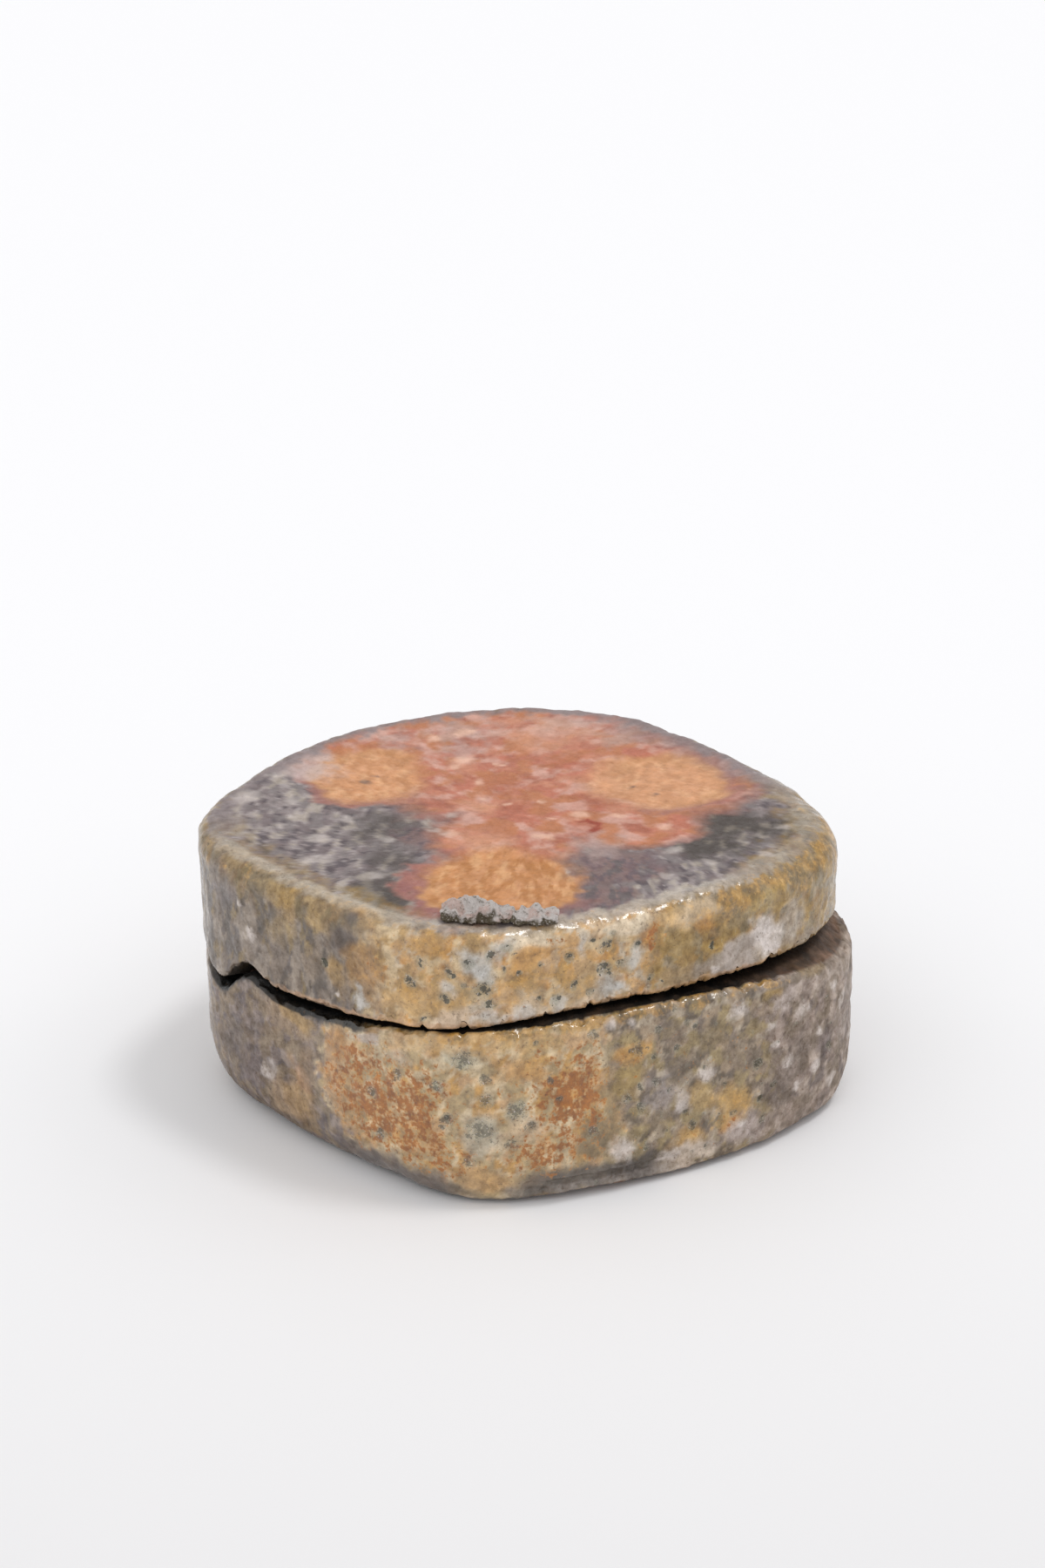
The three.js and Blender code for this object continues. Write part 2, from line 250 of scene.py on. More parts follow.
def base_section():
    """Rings of the base from the middle of the foot, up the outside, over the flange and down
    to the middle of the floor, and the name of the stretch that each ring belongs to."""
    belly_top = FOOT_HEIGHT + around(BELLY_HEIGHT, BEARING)
    middle = at(0, 0)
    foot_flat = at(FOOT - FOOT_BEVEL, 0)
    lower_edge = at(FOOT, FOOT_HEIGHT)
    belly_end = at(BELLY, belly_top)
    wall_end = at(RIM, EDGE_HEIGHT - RIM_ROUND)
    land_edge = at(RIM - RIM_ROUND, EDGE_HEIGHT)
    land_height = LAND_HEIGHT - (LAND_HEIGHT - EDGE_HEIGHT) / 4
    land_middle = at((RIM - RIM_ROUND + FLANGE) / 2, land_height)
    land_end = at(FLANGE, LAND_HEIGHT)
    flange_side = at(FLANGE, FLANGE_TOP - EDGE_CHAMFER)
    flange_outer = at(FLANGE - EDGE_CHAMFER, FLANGE_TOP)
    flange_inner = at(CAVITY + EDGE_CHAMFER, FLANGE_TOP)
    cavity_top = at(CAVITY, FLANGE_TOP - EDGE_CHAMFER)
    cavity_foot = at(CAVITY - CAVITY_DRAFT, FLOOR_THICKNESS + CAVITY_FILLET)
    floor_edge = at(CAVITY - CAVITY_DRAFT - CAVITY_FILLET, FLOOR_THICKNESS)
    floor_middle = at(0, FLOOR_THICKNESS)
    return gather([
        ("underside", stretch(middle, foot_flat, 10)),
        ("bevel", stretch(foot_flat, lower_edge, 4)),
        ("outside", stretch(lower_edge, belly_end, 24, "leaves level")),
        ("outside", stretch(belly_end, wall_end, 43, "swept")),
        ("rim", stretch(wall_end, land_edge, 5, "leaves upright")),
        ("land", stretch(land_edge, land_middle, 6)),
        ("land", stretch(land_middle, land_end, 4)),
        ("flange", stretch(land_end, flange_side, 5)),
        ("flange", stretch(flange_side, flange_outer, 1)),
        ("flange", stretch(flange_outer, flange_inner, 3)),
        ("flange", stretch(flange_inner, cavity_top, 1)),
        ("inside", stretch(cavity_top, cavity_foot, 11)),
        ("inside", stretch(cavity_foot, floor_edge, 5, "leaves upright")),
        ("inside", stretch(floor_edge, floor_middle, 13)),
    ])


def lid_section():
    """Rings of the lid from the middle of its ceiling, down the recess, round the lower edge,
    up the outside, over the shoulder and across the dished top, and each ring's stretch."""
    ceiling_middle = at(0, CEILING)
    ceiling_edge = at(RECESS - RECESS_FILLET, CEILING)
    recess_top = at(RECESS, CEILING - RECESS_FILLET)
    recess_foot = at(RECESS, HEM_HEIGHT + EDGE_CHAMFER)
    hem_inner = at(RECESS + EDGE_CHAMFER, HEM_HEIGHT)
    hem_edge = at(HEM - HEM_ROUND, HEM_HEIGHT)
    wall_foot = at(HEM, HEM_HEIGHT + HEM_ROUND)
    wall_top = at(LID_WALL, BOX_HEIGHT - SHOULDER)
    top_edge = at(LID_WALL - SHOULDER, BOX_HEIGHT)
    share = 1 - (np.arange(TOP_RINGS) + 1)[:, None] / TOP_RINGS
    top = np.stack([top_edge[0] * share, BOX_HEIGHT - LID_DISH * (1 - share ** 2) + 0 * BEARING], 1)
    return gather([
        ("ceiling", stretch(ceiling_middle, ceiling_edge, 8)),
        ("ceiling", stretch(ceiling_edge, recess_top, 5, "leaves level")),
        ("recess", stretch(recess_top, recess_foot, 6)),
        ("hem", stretch(recess_foot, hem_inner, 1)),
        ("hem", stretch(hem_inner, hem_edge, 5)),
        ("hem edge", stretch(hem_edge, wall_foot, 4, "leaves level")),
        ("outside", stretch(wall_foot, wall_top, 34, "battered")),
        ("shoulder", stretch(wall_top, top_edge, 12, "leaves upright")),
        ("top", top),
    ])


def gather(stretches):
    """Joins the stretches of a section into points of shape (rings, steps round, 3), with the
    last ring dropped because it is the pole, and a name for each ring."""
    rings = np.concatenate([rings for _, rings in stretches])[:-1]
    names = np.concatenate([[name] * len(rings) for name, rings in stretches])[:-1]
    radius, height = rings[:, 0], rings[:, 1]
    points = np.stack([radius * np.cos(BEARING), radius * np.sin(BEARING), height], -1)
    return points, names


def outward(points):
    """Unit normals of a grid: the step round the box crossed with the step along the section."""
    round_step = np.roll(points, -1, axis=1) - np.roll(points, 1, axis=1)
    ring_step = np.gradient(points, axis=0)
    normal = np.cross(round_step, ring_step)
    return normal / np.maximum(np.linalg.norm(normal, axis=-1, keepdims=True), 1e-9)


def close_grid(name, points, attributes):
    """Closed mesh of a grid whose first and last rings are drawn to a pole in their middle. A
    grid value goes into a point attribute, and a pole takes the mean of the ring beside it."""
    rings, steps = points.shape[:2]
    ring = np.arange(steps)
    nxt = np.roll(ring, -1)
    first = np.arange(rings - 1)[:, None] * steps
    second = first + steps
    quads = np.stack([first + ring, first + nxt, second + nxt, second + ring], -1).reshape(-1, 4)
    start_pole, end_pole = rings * steps, rings * steps + 1
    last = (rings - 1) * steps
    fans = np.concatenate([
        np.stack([np.full(steps, start_pole), nxt, ring], -1),
        np.stack([last + ring, last + nxt, np.full(steps, end_pole)], -1),
    ])

    def with_poles(values):
        flat = values.reshape(rings * steps, -1)
        return np.concatenate([flat, flat[:steps].mean(0)[None], flat[-steps:].mean(0)[None]])

    mesh = bpy.data.meshes.new(name)
    vertices = (with_poles(points) + AXIS) * MM
    mesh.from_pydata(vertices.tolist(), [], quads.tolist() + fans.tolist())
    mesh.polygons.foreach_set("use_smooth", np.ones(len(mesh.polygons), bool))
    for key, values in attributes.items():
        colour = values.ndim == 3
        layer = mesh.attributes.new(key, "FLOAT_COLOR" if colour else "FLOAT", "POINT")
        flat = with_poles(values)
        if colour:
            flat = np.concatenate([flat, np.ones((len(flat), 1))], 1)
        layer.data.foreach_set("color" if colour else "value", flat.ravel())
    mesh.update()
    piece = bpy.data.objects.new(name, mesh)
    bpy.context.scene.collection.objects.link(piece)
    return piece


# Fields over the surface
def spots(across, up, places):
    """Cone over each spot, 1 in its middle and 0 at its radius, and the strongest one at each
    point, down to -1. A place is its middle across and up, and its radius, all in mm."""
    field = np.full(np.broadcast(across, up).shape, -1.0)
    for middle_across, middle_up, radius in places:
        field = np.maximum(field, 1 - np.hypot(across - middle_across, up - middle_up) / radius)
    return field


def side_spots(turn, height, places):
    """Spots on the side, each placed by its bearing in degrees, its height and its radius. The
    bearings are measured from the back, where no spot lies."""
    along = SIDE_RADIUS * np.radians((turn - BACK) % 360)
    middles = [(SIDE_RADIUS * math.radians((place[0] - BACK) % 360), *place[1:]) for place in places]
    return spots(along, height, middles)


def scar_field(x, y, scar):
    """Elliptical cone over one bare spot: 1 in its middle and 0 at its edge."""
    middle_x, middle_y, length, width, lie = scar
    cosine, sine = math.cos(math.radians(lie)), math.sin(math.radians(lie))
    along = ((x - middle_x) * cosine + (y - middle_y) * sine) * 2 / length
    across = ((y - middle_y) * cosine - (x - middle_x) * sine) * 2 / width
    return 1 - np.hypot(along, across)


def side_coordinates(points):
    """Bearing in degrees and height of each point."""
    turn = np.degrees(np.arctan2(points[..., 1], points[..., 0])) % 360
    return turn, points[..., 2]


def side_fields(points, border_seed, patch_seed, cover):
    """What a side is painted by: the bearings and heights of its points, true and pushed about
    by broad and then by fine noise, noise of two sizes for ragged borders, and clouds."""
    wandering = crumpled(crumpled(points, 7, 1.8, border_seed), 1.8, 0.8, border_seed + 2)
    side = SimpleNamespace(cover=cover)
    side.turn, side.height = side_coordinates(wandering)
    side.true_turn, side.true_height = side_coordinates(points)
    side.patch = layered(points, 3, seed=patch_seed)
    side.ragged = layered(points, 1.2, seed=patch_seed + 3)
    return side


def zone(side, middle, level, wide, tall):
    """Soft oval patch on the side: exp of minus the squares of the distances in its sizes."""
    across = ((side.turn - middle + 180) % 360 - 180) / wide
    return np.exp(-across ** 2 - ((side.height - level) / tall) ** 2)


def patches(side, places):
    """Sum of soft oval patches. Each is its bearing, its height, its half width in degrees, its
    half height in mm and its strength."""
    return sum(place[4] * zone(side, *place[:4]) for place in places)


def sector(turn, start, end, edge):
    """1 between two bearings, going anticlockwise, fading to 0 over the edge on each side."""
    half = ((end - start) % 360) / 2
    away = np.abs((turn - start - half + 180) % 360 - 180)
    return 1 - smooth(away, half - edge / 2, half + edge / 2)


def ring_mask(names, *wanted):
    """1 on the rings whose stretch is wanted and 0 on the others, as a column."""
    return np.isin(names, wanted).astype(float)[:, None]


# Soft light brightens the clay by the gain, and its own sheen adds a little grey to it
FIRED_GAIN = 1.1
SHEEN = 0.012
DARKEST = 0.004
CLOUD_LEVEL = 0.14


def over(ground, colour, mask):
    """A colour laid over the ground as thickly as the mask says."""
    mask = np.clip(mask, 0, 1)[..., None]
    return ground * (1 - mask) + colour * mask


def linear(code):
    """Linear colour of a hex code."""
    part = np.array([int(code[k:k + 2], 16) for k in (0, 2, 4)]) / 255
    return np.where(part <= 0.04045, part / 12.92, ((part + 0.055) / 1.055) ** 2.4)


def fired(code):
    """Linear colour of clay that looks like a hex code in soft light."""
    return np.maximum(FIRED_GAIN * linear(code) - SHEEN, DARKEST)


def clouds(points, size, seed, edge=0.23):
    """Four soft masks, each 1 where its own layered noise is high, to cloud colours together."""
    fields = [layered(points, size, seed + 5 * order, layers=4) for order in range(4)]
    return [smooth(field, CLOUD_LEVEL - edge / 2, CLOUD_LEVEL + edge / 2) for field in fields]


def marbled(cover, colours):
    """Five colours clouded together: each one after the first lies where its mask is."""
    ground = fired(colours[0]) * np.ones((*cover[0].shape, 1))
    for mask, code in zip(cover, colours[1:]):
        ground = over(ground, fired(code), mask)
    return ground


def washed(ground, side, washes):
    """Soft ragged patches laid over the side in turn. A wash is its bearing, its height, its
    half width in degrees, its half height in mm, its strength and its colour."""
    for *oval, strength, code in washes:
        mask = zone(side, *oval) + 0.3 * side.patch
        ground = over(ground, fired(code), strength * smooth(mask, 0.2, 0.8))
    return ground


def faced(ground, side, faces):
    """Lays the clay of each face over the ground in turn. A face is its mask, its five colours
    and its washes."""
    for mask, colours, washes in faces:
        ground = over(ground, washed(marbled(side.cover, colours), side, washes), mask)
    return ground


def spotted(colour, top, marks):
    """Lays soft spots over the top of the lid in turn, as a list of marks says."""
    for tone, places, ragged, span, strength in marks:
        mask = smooth(spots(top.x, top.y, places) + ragged * top.patch, *span)
        colour = over(colour, tone, strength * mask)
    return colour


# Colours of the fired clay, five to each ground
TAUPE = ["786d6a", "6c6364", "8c807a", "776859", "867868"]
CREAM = ["bd9d77", "c7b394", "b28c53", "c2b092", "a6926f"]
OLIVE_GREY = ["94836f", "7b6e63", "a99c8b", "6c6052", "8f7f5e"]
RIGHT_GREY = ["8c7f79", "9b8d86", "776d69", "a79a92", "83776c"]
BACK_BROWN = ["83715f", "8d7962", "71665d", "84745b", "8c705b"]
LID_TAUPE = ["776b61", "665e5b", "7f6e50", "5e554e", "8a7f75"]
LID_CREAM = ["bf9c70", "b98b4e", "c0b19d", "cab491", "a88a5c"]
LID_OLIVE = ["8f7549", "957643", "7f6f50", "8d7d60", "977c48"]
LID_BACK = ["84735f", "7a6e63", "897a5d", "72665c", "8d7d68"]
CHARCOAL = ["73696c", "867d7f", "5a5257", "958d8f", "787173"]
SALMON = ["b06f5c", "b77e68", "a06351", "c09589", "ae7455"]
MAUVE_CLAY = ["6b575b", "5c4d54", "7f6969", "52494e", "786362"]
SCAR = ["c18d66", "b88155", "ca9a70", "bd875c", "ac774a"]
# Dark clay of the foot, land and flange, partly painted shade under the box and in the seam gap
FOOT_CLAY_AND_SHADE = ["6f574a", "5c4b42", "7d6455", "51443d", "6a5446"]

LOW_GREY = fired("5b5250")
# Dark grey of the broken foot, used also as painted shade where the box meets the floor
CHIP_GREY_AND_CONTACT_SHADE = fired("4f4a48")
# Soot and burnt clay, also used dark as painted shade in the seam gap
SOOT_AND_SEAM_SHADE = fired("191613")
BURNT_AND_SEAM_SHADE = fired("33201a")
ROSE = fired("9b6a62")
DEEP_ROSE = fired("80565a")
SCAR_OLIVE = fired("ad8358")
# Pale white of ash and worn edges, used also as a painted highlight along the shoulder
ARRIS_WHITE_AND_HIGHLIGHT = fired("c6b9a7")
COAL = fired("4a4441")
LILAC = fired("ad9a97")
PALE_LILAC = fired("bdafae")
BRICK = fired("9c5a46")
RED_STROKE = fired("8f4434")
FAR_GREY = fired("81777a")
SALT = fired("b0a698")
PEACH = fired("dcae96")
PALE_STONE = fired("c4bcba")
OCHRE = fired("a9803f")
PALE_OCHRE = fired("b8935a")
OLIVE = fired("826a3a")
ORANGE_TAN = fired("c18d48")
ORANGE_BROWN = fired("955b22")
SPECK_BROWN = fired("5b432f")
FLOOR_BROWN = fired("94745a")
# Dark underside clay, partly painted shade under the box
FOOT_BROWN_AND_SHADE = fired("6b5548")
ICE_GREY = fired("b6b6b6")
PIT_GREY = fired("9a9b8c")
PIT_BLACK = fired("3d3d32")
LIP_ORANGE = fired("c19a78")
SHADED = (0.6, 0.54, 0.46)
SUNLIT = (1.58, 1.57, 1.54)
CRUST_PALE = fired("c0b9b5")
CRUST_PINK = fired("b8968a")
CRUST_DARK = fired("564d3d")

# Faces that fired alike: first and last bearing, and how wide their fade is, in degrees
BASE_BACK_FACE = (92, 222, 60)
BASE_LEFT_FACE = (240, 270, 12)
BASE_RIGHT_FACE = (9, 78, 9)
BASE_OLIVE_FACE = (336, 10, 8)
BASE_CREAM_FACE = (276.5, 337, 5)
LID_BACK_FACE = (75, 222, 50)
LID_RIGHT_FACE = (345, 62, 12)
LID_FRONT_FACE = (290, 348, 10)

# The cream of the base starts further right near the foot: by so many degrees, below the heights
CREAM_LEAN = 8
CREAM_LEAN_HEIGHTS = (4.5, 11)

# Patches of colour on the side of the base and of the lid, for the function that washes
BASE_WASHES = [
    (266, 17, 9, 3.0, 0.7, "9a8774"), (270, 7, 5, 4.5, 0.75, "a28660"), (264, 5, 4, 2.5, 0.7, "a08a72"),
    (271, 10, 3, 1.5, 0.5, "ab866a"), (260, 8.3, 2.5, 1.8, 0.7, "b6aeac"),
    (257, 19, 4, 1.5, 0.5, "8d857f"), (270, 18, 6, 1.4, 0.8, "ac9065"),
    (249, 10, 5, 5.0, 0.6, "6f6664"), (255, 8, 5, 3.5, 0.6, "6c6262"), (273, 12, 3, 3.0, 0.7, "836f5b"),
    (254, 14, 4, 2.5, 0.5, "6f6565"),
]
FRONT_WASHES = [
    (289, 20, 3, 1.1, 0.7, "b5acaa"), (282, 17.5, 4, 3, 0.7, "a37c50"),
    (296, 19, 3, 1.5, 0.5, "bcab9a"), (309, 19.5, 4, 1.2, 0.7, "aeab9b"),
    (312, 10, 6, 3.2, 0.8, "b3ab9b"), (318.5, 13, 2.5, 1.8, 0.6, "a8a693"),
    (304, 15.8, 1.8, 1.3, 0.6, "b0ab9a"), (290, 12.6, 2, 1.2, 0.6, "b0aa9c"),
    (292, 7.2, 2, 1.2, 0.6, "b6af9d"), (313, 4, 6, 2.0, 0.9, "b49161"),
    (280, 12, 3, 6.0, 0.6, "ad8762"), (331, 8, 5, 3.8, 0.9, "806f52"), (320, 11, 3, 2.5, 0.6, "c0aa90"),
    (300, 21, 12, 1.4, 0.6, "c0a378"), (322, 21.5, 10, 1.2, 0.6, "bd9a63"),
    (337, 13, 3, 4.0, 0.7, "94794f"), (320, 18.5, 5, 1.8, 0.7, "b98c4b"),
    (284, 9, 5, 6.0, 0.45, "a67f55"), (331, 15, 5, 3.0, 0.6, "aa7f49"),
    (297, 10, 8, 4.0, 0.35, "b58a58"), (288, 2.8, 4, 2.0, 0.7, "6a605a"),
    (282, 18, 4, 1.6, 0.6, "a67d4c"), (320, 2, 5, 1.8, 0.7, "8b8682"),
]
OLIVE_WASHES = [
    (341, 18, 3.5, 1.8, 0.9, "c09556"), (346.5, 11, 4, 3.0, 0.7, "a39a9a"),
    (340, 14, 3, 2.5, 0.7, "937c4d"), (353, 4.5, 4, 2.0, 0.9, "b08f5c"),
    (355, 10, 3.5, 2.5, 0.8, "a68c5e"), (3, 8, 5, 3.5, 0.9, "ad8d58"),
    (359, 17.5, 5, 2.4, 0.8, "7f6f52"), (4, 14, 4, 2.0, 0.7, "80705f"),
    (350, 19, 4, 2.0, 0.6, "7d6f63"), (346, 8, 4, 2.0, 0.6, "84745e"),
    (351.5, 9.7, 1.8, 1.6, 0.7, "b7aeab"), (350, 14, 4, 2.5, 0.7, "75685a"),
    (2, 5.5, 3, 1.2, 0.7, "b98a4c"), (353, 2.3, 8, 1.6, 0.95, "bbaea3"),
    (6, 2.2, 4, 1.8, 0.5, "a79c98"), (6, 3.6, 7, 2.6, 0.9, "b3a7a5"),
]
RIGHT_WASHES = [
    (12, 7, 4, 3.0, 0.8, "6b615c"), (26, 10, 4, 2.5, 0.7, "655c5d"), (15, 18, 5, 2.5, 0.8, "b9aeac"),
    (30, 20, 8, 2.0, 0.6, "a79b92"), (16, 10, 5, 2.5, 0.6, "776c67"), (38, 12, 8, 4.0, 0.5, "978d8a"),
    (20, 3, 9, 2.0, 0.5, "8f8179"), (10, 21, 4, 1.3, 0.8, "a48a5c"), (24, 21.5, 4, 1.2, 0.6, "9c8867"),
    (19, 13, 4, 2.5, 0.6, "7b7069"),
]
LID_WASHES = [
    (256, 26, 2.5, 2.0, 0.7, "a59b94"), (268, 32, 3, 2.0, 0.8, "a68b60"),
    (275, 26, 3, 3.0, 0.6, "7b6c5c"), (275, 32, 2.5, 2.0, 0.7, "a68c60"),
    (266, 33, 4, 1.2, 0.7, "a08149"), (284, 32, 4.5, 3.5, 0.95, "5d524c"),
    (262, 25, 6, 2.0, 0.4, "857a72"), (266, 29, 4, 2.0, 0.6, "9c8763"),
    (283, 26, 4, 2.0, 0.8, "957848"), (289, 29, 5, 4.0, 0.8, "93703f"),
    (265, 27, 4, 2.0, 0.5, "6f645c"), (262, 33, 3, 1.5, 0.6, "9b8662"),
    (249, 31, 5, 4.0, 0.6, "736b6c"),
]
LID_FRONT_WASHES = [
    (297, 26, 6, 2.0, 0.8, "bf9a62"), (311.5, 31.5, 3, 2.0, 0.9, "b9b8b6"),
    (321, 26.5, 4, 2.2, 0.9, "cab69c"), (322, 31, 4, 2.5, 0.9, "b98b4d"),
    (337, 26.5, 3.5, 2.0, 0.8, "a49e97"), (310, 24, 10, 1.3, 0.8, "c9b6a3"),
    (329, 25, 7, 1.5, 0.7, "c4b4a2"), (343, 29, 2.5, 2.0, 0.7, "b3aa98"),
    (347, 31, 2.5, 3.5, 0.9, "a8743c"), (291, 29, 4, 4.0, 0.8, "99723f"),
    (303, 32.5, 4, 1.5, 0.8, "b88c4c"), (316, 28, 3, 3.0, 0.7, "bd9560"),
    (330, 31, 4, 2.5, 0.6, "b98d50"), (292, 25, 4, 1.5, 0.6, "b7986f"),
    (306, 27.5, 3, 2.5, 0.6, "c3a87f"), (331, 28, 4, 3.0, 0.7, "a38558"),
    # The two pale washes at 33.3 and 33.4 mm are partly pale ash and partly a painted highlight along
    # the shoulder
    (321, 33.3, 8, 1.3, 0.9, "cbbda8"), (341, 33.4, 7, 1.3, 0.9, "cfc1ac"),
]
LID_RIGHT_WASHES = [
    (353, 26, 4, 1.8, 0.8, "978264"), (0, 26, 5, 1.8, 0.8, "9a8f86"), (14, 27, 6, 3.2, 1.0, "c9c1bf"),
    (6, 26, 6, 2.2, 0.9, "aaa09b"), (22, 28, 5, 3.0, 0.7, "aea49b"), (26, 25, 6, 1.8, 0.6, "9a8c80"),
    (354, 31, 4, 2.5, 0.8, "9c8250"), (0, 31.5, 2.5, 1.5, 0.7, "b5833f"),
    (8, 31.5, 4, 2.0, 0.7, "8f7f60"), (14, 32, 4, 1.5, 0.6, "ab9462"),
    # The two pale washes at 33.4 mm are partly pale ash and partly a painted highlight along the
    # shoulder
    (350, 33.4, 5, 1.3, 0.9, "d2b07e"), (359, 33.4, 6, 1.3, 0.9, "cdb799"),
    (27, 33, 5, 1.5, 0.6, "8a7c62"),
]

# Patches where rust and golden ash lie thick or thin, for the function that sums them
BASE_RUST = [
    (295, 10, 11, 5.5, 1.2), (329, 15, 8, 4.5, 1.3), (322, 7.5, 4, 2.0, 0.7), (283, 13, 6, 5, 0.5),
    (301, 15, 5, 3, 0.5), (308, 6, 5, 2, 0.7), (290, 17, 6, 3, 0.5), (328, 8.5, 7, 4.5, 0.45),
    (341, 18, 2.5, 1.5, 0.8), (2, 6, 3, 1.5, 0.6),
]
BASE_CALM = [(312, 10, 6, 3.5, 1), (310, 19, 4, 2, 1)]
BASE_GOLD = [(341, 18, 4, 2.5, 0.25), (2, 8, 7, 4, 0.25)]
LID_RUST = [
    (347.5, 30.8, 2.5, 3.0, 1), (327, 33.3, 3, 1, 0.8), (0, 31.5, 2, 1.2, 0.6), (291, 29, 3, 3, 0.5),
]
LID_PALE_RIM = [(322, 33.6, 9, 1.3, 0.35), (348, 33.6, 16, 1.3, 0.3)]

# Pits, pinholes and stones that show on the side of the base: bearing, height and radius
BASE_PITS = [
    (309, 19.7, 1.5), (313, 17, 0.9), (304, 15.7, 1.0), (313, 14.4, 1.0), (296, 16, 0.8),
    (290, 12.6, 0.9), (292, 7.2, 0.9), (318.5, 13, 1.3), (321, 10.8, 0.9), (317.5, 8.6, 0.9),
    (342.5, 18.4, 0.8), (333, 9, 0.8), (333, 21.3, 0.8), (340, 12.3, 0.7), (343, 10.8, 0.8),
    (346, 13.5, 0.6), (350.5, 17.3, 0.6), (353, 20.5, 0.5), (8.5, 12.3, 0.7), (357.5, 3.3, 0.5),
    (352, 9, 0.5), (27, 10, 0.6), (1, 11, 0.5), (310, 6.5, 0.8), (312, 10.5, 1.8), (347, 20.6, 0.7),
    (355, 19.8, 0.6), (349, 12.2, 0.5), (3, 6.8, 0.6), (10, 4.5, 0.6), (12, 9, 0.5), (346, 16.8, 0.6),
]
BASE_PINHOLES = [
    (306, 11.8, 0.9), (305.3, 10.2, 0.4), (325, 16.5, 0.45), (353.5, 7, 0.7), (326, 14, 0.4),
    (9, 7.3, 0.5), (322, 21.5, 0.4), (340.5, 18.2, 0.45), (333, 9, 0.4), (343, 13.6, 0.4),
]
BASE_STONES = [
    (4.5, 20.4, 1.7), (357, 13.3, 1.5), (338.5, 5.8, 2.3), (350, 3.2, 1.5), (348, 3.4, 1.3),
    (23, 8.5, 1.3), (20, 17, 1.5), (32, 15, 1.4), (16, 11, 1.3), (28, 5, 1.2), (260, 8.3, 1.5),
    (336.5, 22.4, 1.1), (12, 17, 0.9), (24, 13, 0.9), (36, 9, 1.1), (5, 5, 1.0), (341, 22, 0.9),
    (351.5, 9.7, 1.2), (13, 14, 0.9), (29, 18, 1.0), (18, 7, 0.8),
]

# Pits, pinholes and blue-grey patches that show on the side of the lid
LID_PITS = [
    (300.7, 31, 0.9), (298.7, 28.6, 0.9), (306, 30.3, 0.8), (309.5, 31.3, 0.8), (312.6, 28.2, 1.3),
    (313.8, 26.3, 0.9), (305.5, 27, 0.8), (313.5, 32.3, 0.8), (316.5, 33, 0.7), (323.5, 30.6, 0.6),
    (329, 30.7, 0.8), (336.5, 31.6, 1.0), (336.5, 28.6, 1.1), (340, 29, 0.7), (330, 27.5, 0.7),
    (326, 25.7, 0.8), (322.8, 26.3, 0.5), (301.3, 24.1, 0.4), (344, 31, 0.5), (319, 29.8, 0.4),
    (338.5, 33, 0.6), (347, 26.5, 0.5), (1.5, 28.5, 0.5), (309, 28.6, 0.5), (333.5, 26, 0.6),
]
LID_PINHOLES = [(278, 27.1, 0.6), (307, 30, 0.4), (316, 30.5, 0.4), (334, 32.5, 0.4), (301.3, 24.1, 0.5)]
LID_STONES = [(257, 26.5, 1.3), (15, 29, 1.4), (282, 24, 0.7), (2, 25.5, 0.8), (254, 30, 0.7)]
FROST = [
    (311.5, 31.5, 2.4), (316.5, 33, 1.5), (337, 26.5, 2.6), (328, 26.5, 1.3), (343.5, 29.3, 1.5),
    (288, 24.5, 1.4), (314, 24.4, 2.2), (332, 32, 1.2), (305, 27.5, 1.3), (320, 24.5, 1.6),
]

# Pale stones on top of the lid: x, y and radius
TOP_STONES = [
    (-19, 6.3, 2.0), (-18, 4.5, 1.4), (4, 6.3, 1.6), (7.3, -2.4, 1.5), (7.7, 9.7, 1.3), (-2, -9.5, 1.8),
    (-4, -10.2, 1.3), (-12, 3, 1.0), (-28, 9, 1.6), (-14, -17.4, 1.2), (-4.8, -17.4, 1.3),
    (-10.7, -23.7, 1.5), (-19, -22, 1.3), (-16.5, -25, 1.2), (-28, -23, 2.6), (21, 7.2, 1.5),
    (-5.7, -29, 2.4), (2.7, -25.7, 1.8), (-6, -6, 0.9), (2.5, 2.5, 0.8), (24, 22, 1.4), (-4, 1, 0.8),
    (-15, 9, 0.9), (-26, 13, 1.8), (-2, 5, 1.0), (-31, -16, 1.4), (14, 12.2, 1.1),
    (26, 1.5, 1.2), (29, 15, 1.3), (17, -6, 0.8), (-8, 0.5, 0.7), (-23, -19, 1.2), (27, 8, 1.2),
]

# Places on top of the lid where the clay fired alike: x, y and radius
CHARCOAL_PLACES = [
    (19.5, 17.5, 9), (-8, -15, 8), (8, -27.5, 7), (23, 12, 7), (24, 22, 6), (0, -21, 5), (6.5, -28, 6),
    (4, -26, 5),
]
MAUVE_PLACES = [(19, -1, 9), (25, -11, 9), (-3, -13, 5), (14, 3, 6)]
SALMON_PLACES = [(-17, 15, 24), (-1, 9, 15), (4, -5.5, 9.5), (3, 22, 13), (-26, -1, 12), (12, 10, 7)]
LILAC_PLACES = [(-27, 13, 8), (-20, 26, 8), (-31, 4, 6), (13, 1, 6), (-12, 29, 6), (-22, 8, 4)]
BRICK_PLACES = [(8, 4, 4), (-8, 5, 6), (-12, 17, 8), (-16, 21, 7), (3, 10, 5), (-3, 2, 5), (2, -6, 5)]
PEACH_PLACES = [(3, -8, 6), (-6, -2, 4), (-18, 21, 9)]
SOOT_SPECKS = [(1.8, 17.6, 0.9), (6.4, 18.2, 0.7), (-22.5, -8, 1.0), (-23.5, -5, 0.6)]

